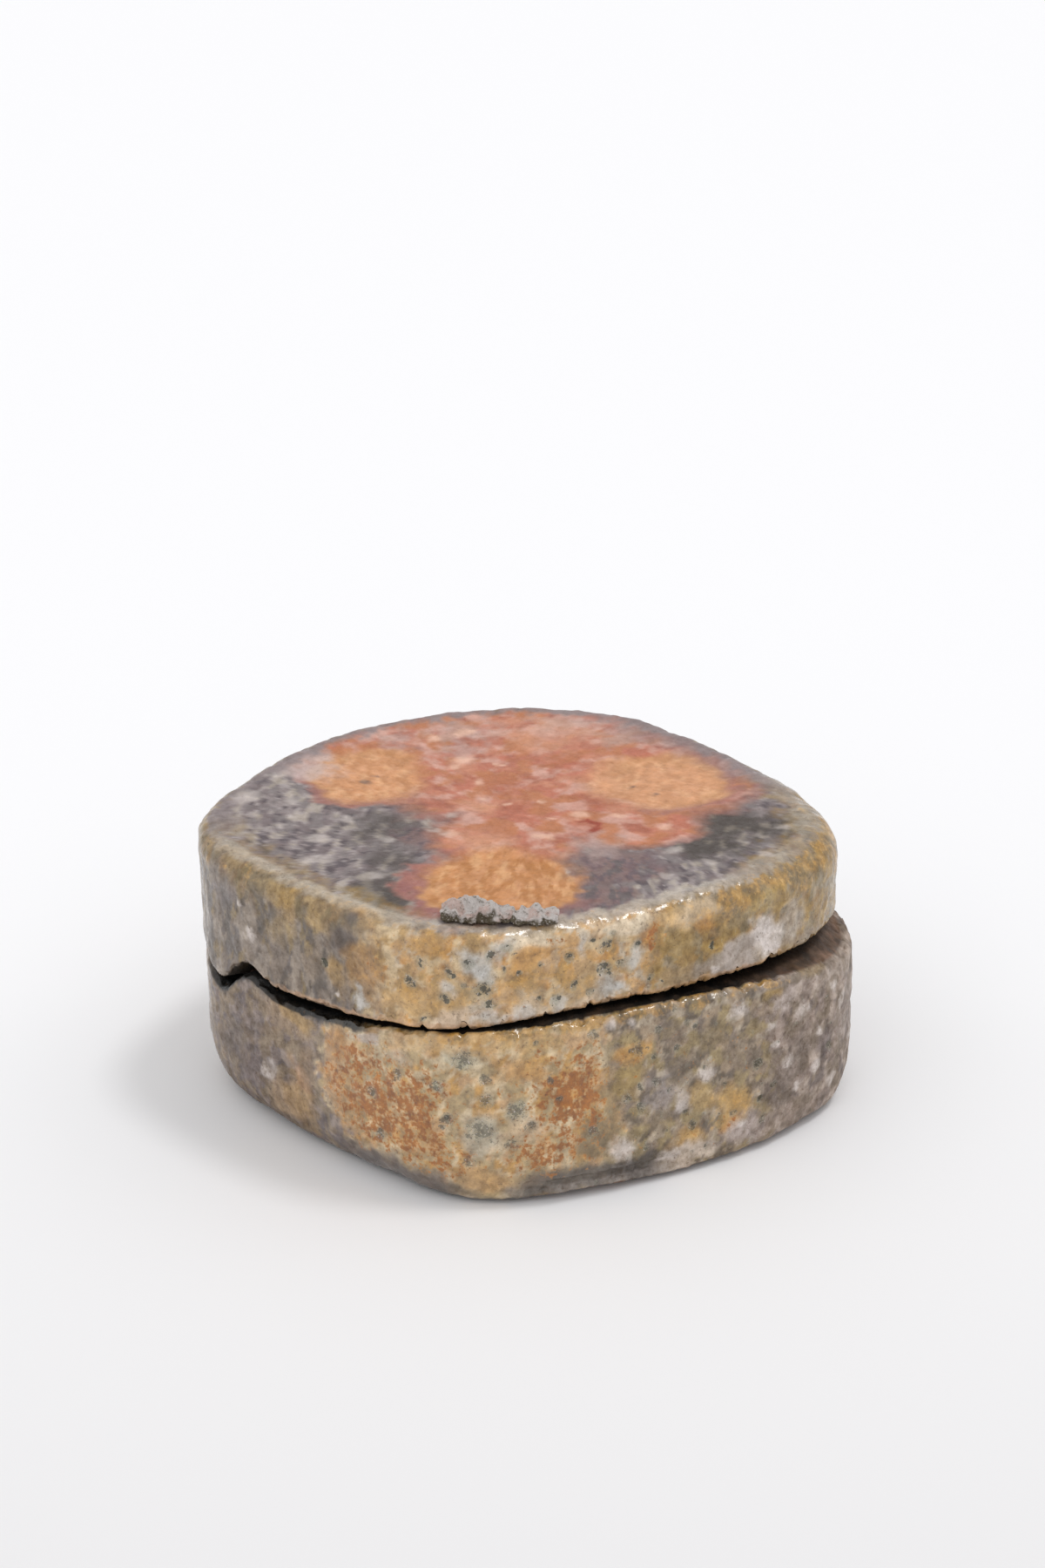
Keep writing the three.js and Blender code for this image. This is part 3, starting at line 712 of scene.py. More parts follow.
# Marks laid over the top in turn: colour, places, how ragged, the span of the fade, strength
SALMON_MARKS = [
    (LILAC, LILAC_PLACES, 0.5, (0.1, 0.9), 0.55),
    (BRICK, BRICK_PLACES, 0.4, (0.1, 0.9), 0.4),
    (ROSE, [(23, -14, 6)], 0.3, (0, 0.9), 0.5),
    (PEACH, PEACH_PLACES, 0.3, (0, 0.8), 0.3),
]
LATE_MARKS = [
    (LOW_GREY, SOOT_SPECKS, 0, (0, 0.7), 0.7),
    (PALE_LILAC, [(-30, -11, 6.0), (-33, -8, 4.0)], 0.35, (0, 0.8), 0.7),
]
SHOULDER_MARKS = [(OCHRE, [(11, -35.5, 4.5)], 0.2, (0, 0.6), 0.6)]

# Part of a ring drawn in red: middle x and y, radius, half width
RED_ARC = (7.7, 4.2, 2.0, 0.7)

# Flecks on the top are narrow along this way, and longer across it by one over the share
FLECK_WAY = (0.66, 0.75)
FLECK_SHARE = 0.45

# Amounts of each finish before anything is painted, and on surfaces that no flame reached. The
# frost, the pits and the flecks are fields that show where they are above about 0.
UNPAINTED = {"rust": 0, "ash": 0, "frost": -1, "gloss": 0.3, "grit": 1}
UNREACHED = {"ash": 0, "rust": 0, "frost": -1, "pit": -1, "fleck": -1, "gloss": 0.1, "grit": 0.7}
INSIDE_DUST = {"rust": 0.42, "ash": 0.25}
MOST_ASH = 0.85


def unpainted(points):
    """Every finish at the amount that it starts with."""
    return {key: np.full(points.shape[:2], float(value)) for key, value in UNPAINTED.items()}


def side_spotting(out, points, pits, pinholes, stones, pocked):
    """Pits and pale stones of the side: the ones that show, and small ones from noise where the
    surface is pocked."""
    turn, height = side_coordinates(crumpled(points, 1.6, 0.5, seed=11))
    small = 1.5 * noise(points, 1.4, seed=13) - 1.45 + 0.9 * pocked
    holes = side_spots(turn, height, pinholes)
    out["pit"] = np.maximum(side_spots(turn, height, pits), np.maximum(small, 2 * holes))
    pebbles = 1.2 * noise(points, 3.6, seed=15) - 1.0 + 0.4 * pocked
    out["fleck"] = np.maximum(side_spots(turn, height, stones), np.minimum(pebbles, 0.34))


def hide(out, hidden, dusty):
    """Takes the finishes off the hidden surfaces and leaves some dust on the dusty ones."""
    for key, value in UNREACHED.items():
        out[key] = np.where(hidden > 0, value, out[key])
    for key, value in INSIDE_DUST.items():
        out[key] = out[key] + value * dusty


def paint_base(points, names):
    """Ground colour and amounts of each finish over the base."""
    side = side_fields(points, 3, 24, clouds(points, 2.2, 100))
    side.right = sector(side.turn + 3 * side.ragged, *BASE_RIGHT_FACE)
    side.olive = sector(side.turn + 3 * side.ragged, *BASE_OLIVE_FACE)
    border = BASE_CREAM_FACE[0] + CREAM_LEAN * (1 - smooth(side.height, *CREAM_LEAN_HEIGHTS))
    side.cream = sector(side.turn + 2.5 * side.ragged, *BASE_CREAM_FACE)
    side.cream = side.cream * smooth(side.turn + 3 * side.ragged, border - 2, border + 2)
    side.low = 1 - smooth(side.height + 1.2 * side.patch, 2.2, 5.6)
    side.below = EDGE_HEIGHT - side.true_height

    ground = marbled(side.cover, TAUPE)
    back = sector(side.turn + 5 * side.patch, *BASE_BACK_FACE)
    ground = over(ground, marbled(side.cover, BACK_BROWN), back)
    ground = faced(washed(ground, side, BASE_WASHES), side, [
        (side.right, RIGHT_GREY, RIGHT_WASHES),
        (side.olive, OLIVE_GREY, OLIVE_WASHES),
        (side.cream, CREAM, FRONT_WASHES),
    ])
    ground = foot_marks(ground, side)

    out = unpainted(points)
    out["rust"] = base_rust(side)
    out["ash"], out["gloss"] = base_ash(side)
    pocked = 0.3 * side.cream + 0.75 * side.olive + 0.5 * side.right
    side_spotting(out, points, BASE_PITS, BASE_PINHOLES, BASE_STONES, pocked)
    inside = ring_mask(names, "inside", "underside")
    hide(out, np.maximum(inside, ring_mask(names, "land", "flange", "bevel")), inside)
    out["ground"] = seam_marks(ground, side, points, names)
    return out


def foot_marks(ground, side):
    """Grey along the foot, dark where the lower edge broke away, with a pale line on its lip, and a dark
    band round the lowest mm that is partly burnt clay and partly painted shade where the box meets the
    floor.
    """
    ground = over(ground, LOW_GREY, sector(side.turn, 280, 309, 10) * side.low * 0.92)
    ground = over(ground, LOW_GREY, sector(side.turn, *BASE_LEFT_FACE) * side.low * 0.3)
    # Dark band round the lowest mm: painted shade where the box meets the floor, over burnt clay
    painted_contact_shade = 1 - smooth(side.true_height + 0.2 * side.patch, 0.5, 1.1)
    ground = over(ground, CHIP_GREY_AND_CONTACT_SHADE, painted_contact_shade * 0.8)
    broken = band(side.true_height + 1.1 * side.patch, 1.2, 3.8, 1.3)
    ground = over(ground, CHIP_GREY_AND_CONTACT_SHADE, broken * sector(side.true_turn, 319.5, 348, 8) * 0.9)
    lip = band(side.true_height + 0.3 * side.patch, 1.2, 1.7, 0.4)
    return over(ground, PALE_STONE, lip * sector(side.true_turn, 325, 350, 5) * 0.25)


def base_rust(side):
    """How thick the rust lies on the base: on the cream and the olive, above the foot and under
    the rim, and most in its patches."""
    strong = np.minimum(patches(side, BASE_RUST), 1.1)
    spread = 0.24 + 0.34 * strong - 0.16 * np.minimum(patches(side, BASE_CALM), 1)
    spread = spread * np.maximum(side.cream, 0.75 * side.olive) * smooth(side.height, 2.0, 4.5)
    return np.clip(spread * smooth(side.below, 0.2, 2.0), 0, 1)


def base_ash(side):
    """How thick the golden ash lies on the base, and how glossy it is. It gathers on the rim, on
    the cream and olive faces and high on the back."""
    rim = sector(side.true_turn, 300, 24, 16) * (1 - smooth(side.below + 0.7 * side.patch, 0.4, 1.8))
    golden = 0.4 * rim + 0.16 * side.olive + 0.24 * side.cream + patches(side, BASE_GOLD)
    golden -= 0.2 * side.low * sector(side.turn, 310, 345, 10)
    high = 1 - smooth(side.below + 2 * side.patch, 1, 7)
    golden += 0.3 * high * sector(side.turn, 80, 228, 60)
    dull = np.clip(side.right + 0.6 * sector(side.turn, 240, 272, 12) + side.low * 0.6, 0, 1)
    gloss = 0.5 + 0.25 * side.cream + 0.3 * rim - 0.35 * dull
    return np.clip(golden, 0, MOST_ASH), np.clip(gloss, 0, 1)


def seam_marks(ground, side, points, names):
    """Soot on the land and round the seam, less where the worn corner is bare, with the land and the
    flange darkened further as painted shade in the gap under the lid, and brown clay on the surfaces
    inside and under the base, painted dark on the bevel and underside as shade under the box."""
    land = ring_mask(names, "land")
    sooty = sector(side.true_turn, 240, 289, 10)
    inset = RIM - np.hypot(points[..., 0], points[..., 1])
    bare = sector(side.true_turn, 14, 75, 24) * (1 - smooth(inset + 1.5 * side.patch, 0.6, 4.6))
    # How thick soot lies on the land, laid thick also as painted shade in the gap under the lid
    soot_and_gap_shade = 0.7 + 0.27 * sector(side.true_turn, 235, 30, 30) - 0.85 * bare
    soot_and_gap_shade -= 0.12 * smooth(side.patch, 0, 0.4)
    brown = marbled(side.cover, FOOT_CLAY_AND_SHADE)
    ground = over(ground, brown, land * 0.9)
    ground = over(ground, SOOT_AND_SEAM_SHADE, land * soot_and_gap_shade)
    ground = over(ground, SOOT_AND_SEAM_SHADE, ring_mask(names, "rim", "land") * sooty * 0.85)
    under_rim = 1 - smooth(side.below + 0.8 * side.patch, 0.1, 1.5)
    ground = over(ground, SOOT_AND_SEAM_SHADE, sooty * under_rim * 0.9)
    # Dark brown clay on the flange and bevel, and burnt clay on the flange: partly the clay's own colour
    # and partly painted shade in the gap and under the box
    ground = over(ground, brown, ring_mask(names, "flange", "bevel"))
    ground = over(ground, BURNT_AND_SEAM_SHADE, ring_mask(names, "flange") * (0.5 + 0.3 * side.patch))
    ground = over(ground, FLOOR_BROWN, ring_mask(names, "inside"))
    # Dark brown underside: partly bare clay and partly painted shade under the box
    return over(ground, FOOT_BROWN_AND_SHADE, ring_mask(names, "underside"))


def paint_lid(points, names):
    """Ground colour and amounts of each finish over the lid."""
    side = side_fields(points, 5, 34, clouds(points, 2.4, 300))
    side.right = sector(side.turn + 3 * side.ragged, *LID_RIGHT_FACE)
    side.front = sector(side.turn + 3 * side.ragged, *LID_FRONT_FACE)
    side.upper = smooth(side.height + 1.2 * side.patch, 29.5, 33.5)
    streaks = clouds(points * [1.3, 1.3, 0.65], 3.0, 330)

    ground = marbled(streaks, LID_TAUPE)
    back = sector(side.turn + 5 * side.patch, *LID_BACK_FACE)
    ground = over(ground, marbled(side.cover, LID_BACK), back)
    ground = over(ground, marbled(streaks, LID_OLIVE), 0.65 * side.upper)
    ground = faced(washed(ground, side, LID_WASHES), side, [
        (side.right, LID_OLIVE, LID_RIGHT_WASHES),
        (side.front, LID_CREAM, LID_FRONT_WASHES),
    ])

    out = unpainted(points)
    out["ash"] = lid_ash(side)
    streak = np.minimum(patches(side, LID_RUST), 1)
    out["rust"] = np.clip(0.55 * streak + 0.12 * side.front, 0, 1)
    out["frost"] = side_spots(side.turn, side.height, FROST)
    pocked = 0.45 * side.front + 0.3 * sector(side.turn, 345, 25, 10)
    side_spotting(out, points, LID_PITS, LID_PINHOLES, LID_STONES, pocked)
    glassy = smooth(side.true_height, 30.5, 33.5) * sector(side.turn, 285, 20, 20)
    out["gloss"] = np.clip(0.42 + 0.25 * side.front + 0.4 * glassy, 0, 1)

    ground = lay_top(ground, out, side, points, names)
    # Burnt clay inside the skirt and soot on the lower edge, dark also as painted shade in the seam gap
    ground = over(ground, BURNT_AND_SEAM_SHADE, ring_mask(names, "recess") * 0.75)
    ground = over(ground, SOOT_AND_SEAM_SHADE, ring_mask(names, "hem") * 0.85)
    ground = over(ground, FLOOR_BROWN, ring_mask(names, "ceiling"))
    lip = ring_mask(names, "hem edge") * sector(side.true_turn, 262, 20, 14)
    out["ground"] = over(ground, LIP_ORANGE, lip * 0.5)
    hide(out, ring_mask(names, "ceiling", "recess", "hem"), ring_mask(names, "ceiling"))
    return out


def lid_ash(side):
    """How thick the golden ash lies on the side of the lid. It gathers on the front and high up,
    and is thin on pale patches and on the lower edge."""
    hem = 1 - smooth(side.height, 23.5, 26.5)
    pale = side.right * zone(side, 14, 27, 12, 3.5)
    golden = side.front * (0.42 - 0.22 * hem) + 0.24 * side.right * (1 - pale)
    golden -= 0.3 * side.front * zone(side, 311.5, 31.5, 4, 2.5) + patches(side, LID_PALE_RIM)
    return np.clip(golden + 0.3 * (1 - side.front) * side.upper, 0, MOST_ASH)


def lay_top(ground, out, side, points, names):
    """Lays the top of the lid and its finishes over the side, down to just inside the shoulder."""
    colour, rim_ash = paint_top(points)
    height = side.true_height + 0.4 * side.ragged
    shoulder = ring_mask(names, "shoulder") * smooth(height, BOX_HEIGHT - 0.6, BOX_HEIGHT - 0.1)
    top = np.maximum(ring_mask(names, "top"), shoulder)
    for key, value in (("fleck", -1), ("ash", 0.3 * rim_ash), ("rust", 0), ("frost", -1), ("pit", -1)):
        out[key] = np.where(top > 0.5, value, out[key])
    for key, value in (("gloss", 0.2 + 0.6 * rim_ash), ("grit", 0.4 + 0.5 * rim_ash)):
        out[key] = out[key] * (1 - top) + value * top
    return over(ground, colour, top)


def top_fields(points):
    """What the top is painted by: wandering x and y, share of the way to the shoulder, bearing,
    noise of two sizes for ragged borders, and flecks drawn out across one way."""
    wander = crumpled(crumpled(points, 6, 1.4, seed=7), 1.4, 0.6, seed=9)
    top = SimpleNamespace(x=wander[..., 0], y=wander[..., 1])
    top.share = np.hypot(points[..., 0], points[..., 1]) / (LID_WALL - SHOULDER)
    top.turn, _ = side_coordinates(points)
    top.patch = layered(points, 2.2, seed=44)
    top.broad = layered(points, 6, seed=47)
    cosine, sine = FLECK_WAY
    along = points[..., 0] * cosine + points[..., 1] * sine
    across = FLECK_SHARE * (points[..., 1] * cosine - points[..., 0] * sine)
    top.turned = np.stack([along, across, points[..., 2]], -1)
    top.flecks = clouds(top.turned, 1.5, 540)
    top.warmth = spots(top.x, top.y, SALMON_PLACES) + 0.1 * top.broad + 0.06 * top.patch
    return top


def paint_top(points):
    """Fire colours over the top of the lid: charcoal near the rim, salmon in the lee of the
    wads, orange where they stood with a rose line beside each, and ash along the shoulder."""
    top = top_fields(points)
    mauve = marbled(top.flecks, MAUVE_CLAY)
    salmon = marbled(clouds(points, 4.5, 500, edge=0.5), SALMON)
    colour = smoked_clay(top, mauve)
    colour = over(colour, over(salmon, mauve, 0.6), smooth(top.warmth, -0.22, 0.0))
    colour = over(colour, salmon, smooth(top.warmth, -0.04, 0.2))
    colour = spotted(colour, top, SALMON_MARKS)
    middle_x, middle_y, radius, half_width = RED_ARC
    arc = 1 - np.abs(np.hypot(top.x - middle_x, top.y - middle_y) - radius) / half_width
    colour = over(colour, RED_STROKE, smooth(arc, 0, 0.6) * smooth(top.y + 0.3 * top.x, 5.5, 7.5))
    colour = spotted(wad_marks(colour, top), top, LATE_MARKS)
    colour = over(colour, FAR_GREY, smooth(top.y, 27.5, 32.5) * 0.6)
    colour, rim_ash = shoulder_ash(colour, top)
    return stony(spotted(colour, top, SHOULDER_MARKS), top), rim_ash


def smoked_clay(top, mauve):
    """Charcoal flecked with salt, blacker in its dark places and mauve in its warm ones."""
    salt = smooth(layered(top.turned, 1.5, seed=550, layers=2), 0.25, 0.5)
    dark = smooth(spots(top.x, top.y, CHARCOAL_PLACES) + 0.3 * top.patch, 0, 0.7)
    colour = marbled(top.flecks, CHARCOAL)
    colour = over(colour, COAL, dark * (0.7 + 0.25 * smooth(top.x, 3, 10)))
    colour = over(colour, SALT, salt * 0.42 * (1 - 0.5 * dark))
    warm = smooth(spots(top.x, top.y, MAUVE_PLACES) + 0.3 * top.patch, 0, 0.6)
    return over(colour, mauve, warm * 0.85)


def wad_marks(colour, top):
    """Orange where each wad stood, scratched and softest towards the middle of the lid, with a
    rose border on one side."""
    orange = marbled(clouds(top.turned, 1.5, 540, edge=0.45), SCAR)
    scratches = smooth(layered(top.turned, 0.9, seed=560, layers=2), 0.35, 0.65)
    orange = over(orange, ORANGE_BROWN, scratches * 0.3)
    for place, soft, pale, rose, rose_bearing in WAD_MARKS:
        field = scar_field(top.x, top.y, place) + 0.1 * top.broad + 0.05 * top.patch
        border = field + 0.1 * top.patch
        way = np.arctan2(top.y - place[1], top.x - place[0])
        inward = smooth(-np.cos(way - math.atan2(place[1], place[0])), -0.3, 0.8)
        facing = np.cos(way - math.radians(rose_bearing))
        near = smooth(facing + 0.3 * top.patch, -0.2, 0.7) * rose
        colour = over(colour, ROSE, smooth(border, -0.32, -0.12) * near)
        deep = smooth(border, -0.2, -0.08) * smooth(top.broad, -0.5, 0.2)
        colour = over(colour, DEEP_ROSE, deep * near * 0.7)
        spread = soft + 0.16 * inward
        clay = over(orange, PEACH, pale)
        rim = over(clay, SCAR_OLIVE, 0.45 * (1 - inward))
        colour = over(colour, rim, smooth(field, -0.07 - spread, 0.03 + spread))
        colour = over(colour, clay, smooth(field + 0.15 * top.patch, -0.06, 0.22 + spread))
    return colour


def shoulder_ash(colour, top):
    """Olive and then white ash along the shoulder in front, whitest at the front right where the white
    is also a painted highlight, with a pale line along the left front arris that is partly wear and
    partly a painted highlight, and grey along the shoulder behind. Gives the colour, and how thick the
    ash lies."""
    front = sector(top.turn, 235, 66, 24)
    olive = front * smooth(top.share + 0.08 * top.patch, 0.88, 0.98) * sector(top.turn, 15, 298, 20)
    colour = over(colour, marbled(top.flecks, LID_OLIVE), olive * 0.6)
    rim_ash = front * smooth(top.share + 0.05 * top.patch, 0.95, 1.0)
    # A pale worn line on the left front arris that is also a painted highlight, and white ash on the
    # front right shoulder laid thicker as a painted highlight
    worn_and_highlight_line = sector(top.turn, 242, 300, 16) * band(top.share + 0.02 * top.patch, 0.985, 1.03, 0.02)
    white = rim_ash * (0.1 + 0.5 * sector(top.turn, 308, 14, 24)) + 0.35 * worn_and_highlight_line
    colour = over(colour, ARRIS_WHITE_AND_HIGHLIGHT, white)
    far = (1 - front) * smooth(top.share + 0.05 * top.patch, 0.93, 1.0)
    return over(colour, FAR_GREY, far * 0.9), rim_ash


def stony(colour, top):
    """Pale stones over the top, peach where the clay is salmon."""
    pebbles = np.maximum(spots(top.x, top.y, TOP_STONES), 1.3 * noise(top.turned, 1.8, seed=17) - 0.85)
    warm = smooth(top.warmth, 0, 0.3)
    mask = smooth(pebbles + 0.2 * top.patch, -0.05, 0.7) * (0.5 + 0.2 * warm)
    return over(colour, over(PALE_STONE, PEACH, warm * 0.8), mask)


# Relief, in mm: size and rise of the knife dents, the lumps, the grains and the sand of the clay
DENT_SIZE = 15
DENT_RISE = 0.32
LUMP_SIZE = 4.5
LUMP_RISE = 0.17
GRAIN_SIZE = 2.0
GRAIN_RISE = 0.11
SAND_SIZE = 1.1
SAND_RISE = 0.1
PIT_DEPTH = 0.3
STONE_RISE = 0.14

# The rim's and the hem's ragged edge: reach up or down in mm, and size of its bites
RIM_RAGGED = (-0.35, 1.3)
HEM_RAGGED = (0.5, 1.1)
RAGGED_RINGS = 5
LEAST_CLEARANCE = 0.02


def relief(points, names, pit, fleck):
    """How far the surface stands out, in mm: knife dents and clay lumps of four sizes, less the
    pits, plus the stones. Surfaces inside the box are calmer than those outside, and have no
    lumps finer than the grid that carries them."""
    calm = ring_mask(names, "underside", "flange", "recess", "land", "hem")
    inner = ring_mask(names, "inside", "ceiling")
    strength = 1 - 0.75 * calm - 0.4 * inner
    open_grid = ring_mask(names, "underside", "inside", "ceiling", "recess")
    rise = DENT_RISE * layered(points, DENT_SIZE, seed=50, layers=2)
    rise = rise + LUMP_RISE * noise(points, LUMP_SIZE, seed=54) * (1 - 0.6 * open_grid)
    fine = GRAIN_RISE * noise(points, GRAIN_SIZE, seed=58)
    fine = fine + SAND_RISE * noise(points, SAND_SIZE, seed=59)
    fine = fine * (1 - open_grid)
    rise = (rise + fine) * strength
    rise = rise - PIT_DEPTH * smooth(pit, -0.1, 0.8)
    return rise + STONE_RISE * smooth(fleck, -0.1, 0.7), fine


def weathered_and_shaded(ground, fine):
    """Ground made darker in its small hollows and paler on its small rises, partly glaze pooled in the
    hollows and worn rises and partly painted shade and painted light on the relief.
    """
    return ground * np.clip(1 + 1.6 * fine, 0.65, 1.4)[..., None]


def chipped(points, names):
    """Depth of the rough undercut where the lower edge has broken away, in mm."""
    turn, height = side_coordinates(points)
    rough = layered(points, 1.2, seed=62)
    window = band(turn, 322, 349, 5) * band(height + 0.25 * rough, 1.6, 2.9, 0.6)
    return window * (0.45 + 0.35 * rough) * ring_mask(names, "outside")


def ragged_edge(points, rings_from_edge, reach, size, seed):
    """Up and down shift of an edge in mm that fades out over the rings beside it: shallow waves
    from broad noise, and bites where finer noise is high."""
    fade = np.clip(1 - rings_from_edge / RAGGED_RINGS, 0, 1)[:, None]
    waves = layered(points, 2.5 * size, seed=seed)
    bites = smooth(layered(points, size, seed=seed + 1), 0.05, 0.5)
    return reach * (bites - 0.4 * waves) * fade


def edge_distance(names, *edge):
    """How many rings each ring is from the nearest one on the edge."""
    on_edge = np.flatnonzero(np.isin(names, edge))
    return np.abs(np.arange(len(names))[:, None] - on_edge).min(1)


def make_base():
    """Base with its relief, chipped lower edge and uneven rim."""
    points, names = base_section()
    finishes = paint_base(points, names)
    rise, fine = relief(points, names, finishes["pit"], finishes["fleck"])
    finishes["ground"] = weathered_and_shaded(finishes["ground"], fine)
    rise = rise - chipped(points, names)
    shaped = points + outward(points) * rise[..., None]
    shaped[..., 2] += ragged_edge(points, edge_distance(names, "rim"), *RIM_RAGGED, 66)
    foot_level = np.where(ring_mask(names, "underside") > 0, 0, LEAST_CLEARANCE)
    shaped[..., 2] = np.maximum(shaped[..., 2], foot_level)
    return close_grid("fired_base", shaped, finishes)


def make_lid():
    """Lid with its relief, sunken wad scars and ragged lower edge."""
    points, names = lid_section()
    finishes = paint_lid(points, names)
    rise, fine = relief(points, names, finishes["pit"], finishes["fleck"])
    on_top = ring_mask(names, "top")
    finishes["ground"] = weathered_and_shaded(finishes["ground"], fine * (1 - 0.6 * on_top))
    scars = np.max([scar_field(points[..., 0], points[..., 1], s) for s in WAD_SCARS], axis=0)
    rise = rise * (1 - 0.6 * on_top) - SCAR_DEPTH * on_top * smooth(scars, -0.05, 0.25)
    shaped = points + outward(points) * rise[..., None]
    shaped[..., 2] += ragged_edge(points, edge_distance(names, "hem edge"), *HEM_RAGGED, 70)
    return close_grid("fired_lid", shaped, finishes)


# Crumbs of the wad on the front arris of the lid: middle along it, length, depth, height
CRUST_BEARING = 314.7
CRUST_INSET = 4.0
CRUMBS = [
    ("wad_crumb_left", "wad_crust_left", -2.6, 8.4, 3.2, 2.3),
    ("wad_crumb_right", "wad_crust_right", 4.0, 5.9, 2.5, 1.7),
]
CRUMB_STEPS = 220
CRUMB_RINGS = 110
CRUMB_ROUGHNESS = 0.42
CRUMB_SINK = 0.2


def top_height(x, y):
    """Height of the dished top of the lid at a place on it."""
    bearing = np.arctan2(y, x)
    wall = outline(RIM_REACH - HEM_IN - WALL_IN, bearing)
    share = np.hypot(x, y) / (wall - around(SHOULDER_ROUND, bearing))
    return BOX_HEIGHT - LID_DISH * (1 - np.minimum(1, share) ** 2)


def make_crumb(name, along, length, depth, height):
    """Flaky lump of wad clay: directions over a sphere, drawn to a rounded block by dividing by
    their fourth-power norm, pushed in and out by noise, with a broken top, and cut off just
    under the lid's surface."""
    turn = np.arange(CRUMB_STEPS) * 2 * np.pi / CRUMB_STEPS
    rise = ((np.arange(CRUMB_RINGS) + 0.5) / CRUMB_RINGS - 0.5)[:, None] * np.pi
    ways = np.stack([np.cos(rise) * np.cos(turn), np.cos(rise) * np.sin(turn),
                     np.sin(rise) + 0 * turn], -1)
    block = ways / (ways ** 4).sum(-1, keepdims=True) ** (1 / 4)
    local = block * np.array([length, depth, height]) / 2
    local[..., 2] += height / 2
    seeded = local + [along * 7, 0, 0]
    broken = layered(seeded * [1, 1, 0], 2.2, seed=82, layers=3)
    local[..., 2] *= np.clip(0.85 + 0.55 * broken, 0.25, 1.2)
    lumps = layered(seeded, 1.2, seed=80, layers=5)
    local = local + ways * (CRUMB_ROUGHNESS * lumps)[..., None]

    angle = math.radians(CRUST_BEARING)
    reach = outline(RIM_REACH - HEM_IN - WALL_IN, np.array([angle]))[0] - CRUST_INSET
    out_way = np.array([math.cos(angle), math.sin(angle)])
    side_way = np.array([-math.sin(angle), math.cos(angle)])
    plan = (reach - local[..., 1:2]) * out_way + (along + local[..., :1]) * side_way
    surface = top_height(plan[..., 0], plan[..., 1])
    points = np.stack([*np.moveaxis(plan, -1, 0), surface + np.maximum(local[..., 2], -CRUMB_SINK)], -1)
    grey = over(CRUST_PALE, CRUST_PINK, smooth(layered(seeded, 2.0, seed=84), -0.1, 0.4) * 0.6)
    # Pale where the crumb faces up and dark where it faces down: partly the crust's own sooty clay and
    # partly painted shade on its underside
    facing_up = smooth(ways[..., 2] + 0.6 * layered(seeded, 0.9, seed=86) + 0.5 * lumps, -0.1, 0.45)
    return close_grid(name, points, {"ground": over(CRUST_DARK, grey, facing_up)})


# How the fired clay and the glaze over it reflect, how deep the ridges of the clay and of the
# wads are in mm, and how far in mm the angular holes are bent
CLAY_SPECULAR = 0.15
GLAZE_ROUGHNESS = 0.1
GLAZE_IOR = 1.65
CLAY_RIDGES = 0.4
WAD_RIDGES = 0.3
SHARD_BEND = 1.2


# Shader nodes
def set_inputs(tree, target, inputs):
    """Gives a node's inputs, by name or number, a value or a link to a socket."""
    for key, value in inputs.items():
        if isinstance(value, bpy.types.NodeSocket):
            tree.links.new(value, target.inputs[key])
        else:
            target.inputs[key].default_value = value


def node(tree, kind, inputs=None, **settings):
    """Adds a shader node with its inputs and settings."""
    new = tree.nodes.new("ShaderNode" + kind)
    for key, value in settings.items():
        setattr(new, key, value)
    set_inputs(tree, new, inputs or {})
    return new


def amount(tree, name):
    """Number carried by the surface."""
    return node(tree, "Attribute", attribute_name=name).outputs["Fac"]


def object_place(tree):
    """Place of a point in the object, in metres."""
    return node(tree, "TexCoord").outputs["Object"]


def grain(tree, per_mm, detail, roughness):
    """Noise over the object with about so many lumps to the mm."""
    inputs = {"Vector": object_place(tree), "Scale": per_mm / MM}
    inputs.update(Detail=detail, Roughness=roughness)
    return node(tree, "TexNoise", inputs).outputs["Fac"]


def maths(tree, operation, first, second):
    """Result of an operation on two values or sockets."""
    return node(tree, "Math", {0: first, 1: second}, operation=operation).outputs[0]


def fade(tree, value, low, high):
    """Smooth step from 0 at low to 1 at high."""
    inputs = {"Value": value, "From Min": low, "From Max": high}
    stepped = node(tree, "MapRange", inputs, interpolation_type="SMOOTHSTEP")
    return stepped.outputs["Result"]


def laid_over(tree, ground, colour, mask, kind="MIX"):
    """Colour laid over the ground by a mask."""
    inputs = {0: mask, 6: ground, 7: colour}
    return node(tree, "Mix", inputs, data_type="RGBA", blend_type=kind).outputs[2]


def times(tree, value, factor):
    """A value made weaker or stronger."""
    return maths(tree, "MULTIPLY", value, factor)


def weighted(tree, *parts, offset=0.0):
    """Sum of values, each times its weight, on top of an offset."""
    total = offset
    for value, weight in parts:
        total = maths(tree, "ADD", times(tree, value, weight), total)
    return total


def rgba(colour):
    """Colour for a socket, with no transparency."""
    return (*colour, 1.0)


def tinted(tree, ground, colour, mask, strength):
    """One of the fired colours laid over the ground by a mask, at a strength."""
    return laid_over(tree, ground, rgba(colour), times(tree, mask, strength))


def ridges(tree, height, depth, strength):
    """Normal for a relief finer than the mesh, with its depth in mm."""
    inputs = {"Strength": strength, "Distance": depth * MM, "Height": height}
    return node(tree, "Bump", inputs).outputs["Normal"]


def new_material(name):
    """Material with an empty tree, its principled shader and that shader's tree."""
    material = bpy.data.materials.new(name)
    material.use_nodes = True
    tree = material.node_tree
    tree.nodes.clear()
    shader = node(tree, "BsdfPrincipled")
    node(tree, "OutputMaterial", {"Surface": shader.outputs["BSDF"]})
    return material, tree, shader


def patchy(tree, noise_value, share, edge):
    """Mask that covers about the given share of the surface, where noise is highest."""
    level = maths(tree, "ADD", noise_value, times(tree, share, 0.5))
    return fade(tree, level, 0.75 - edge, 0.75 + edge)


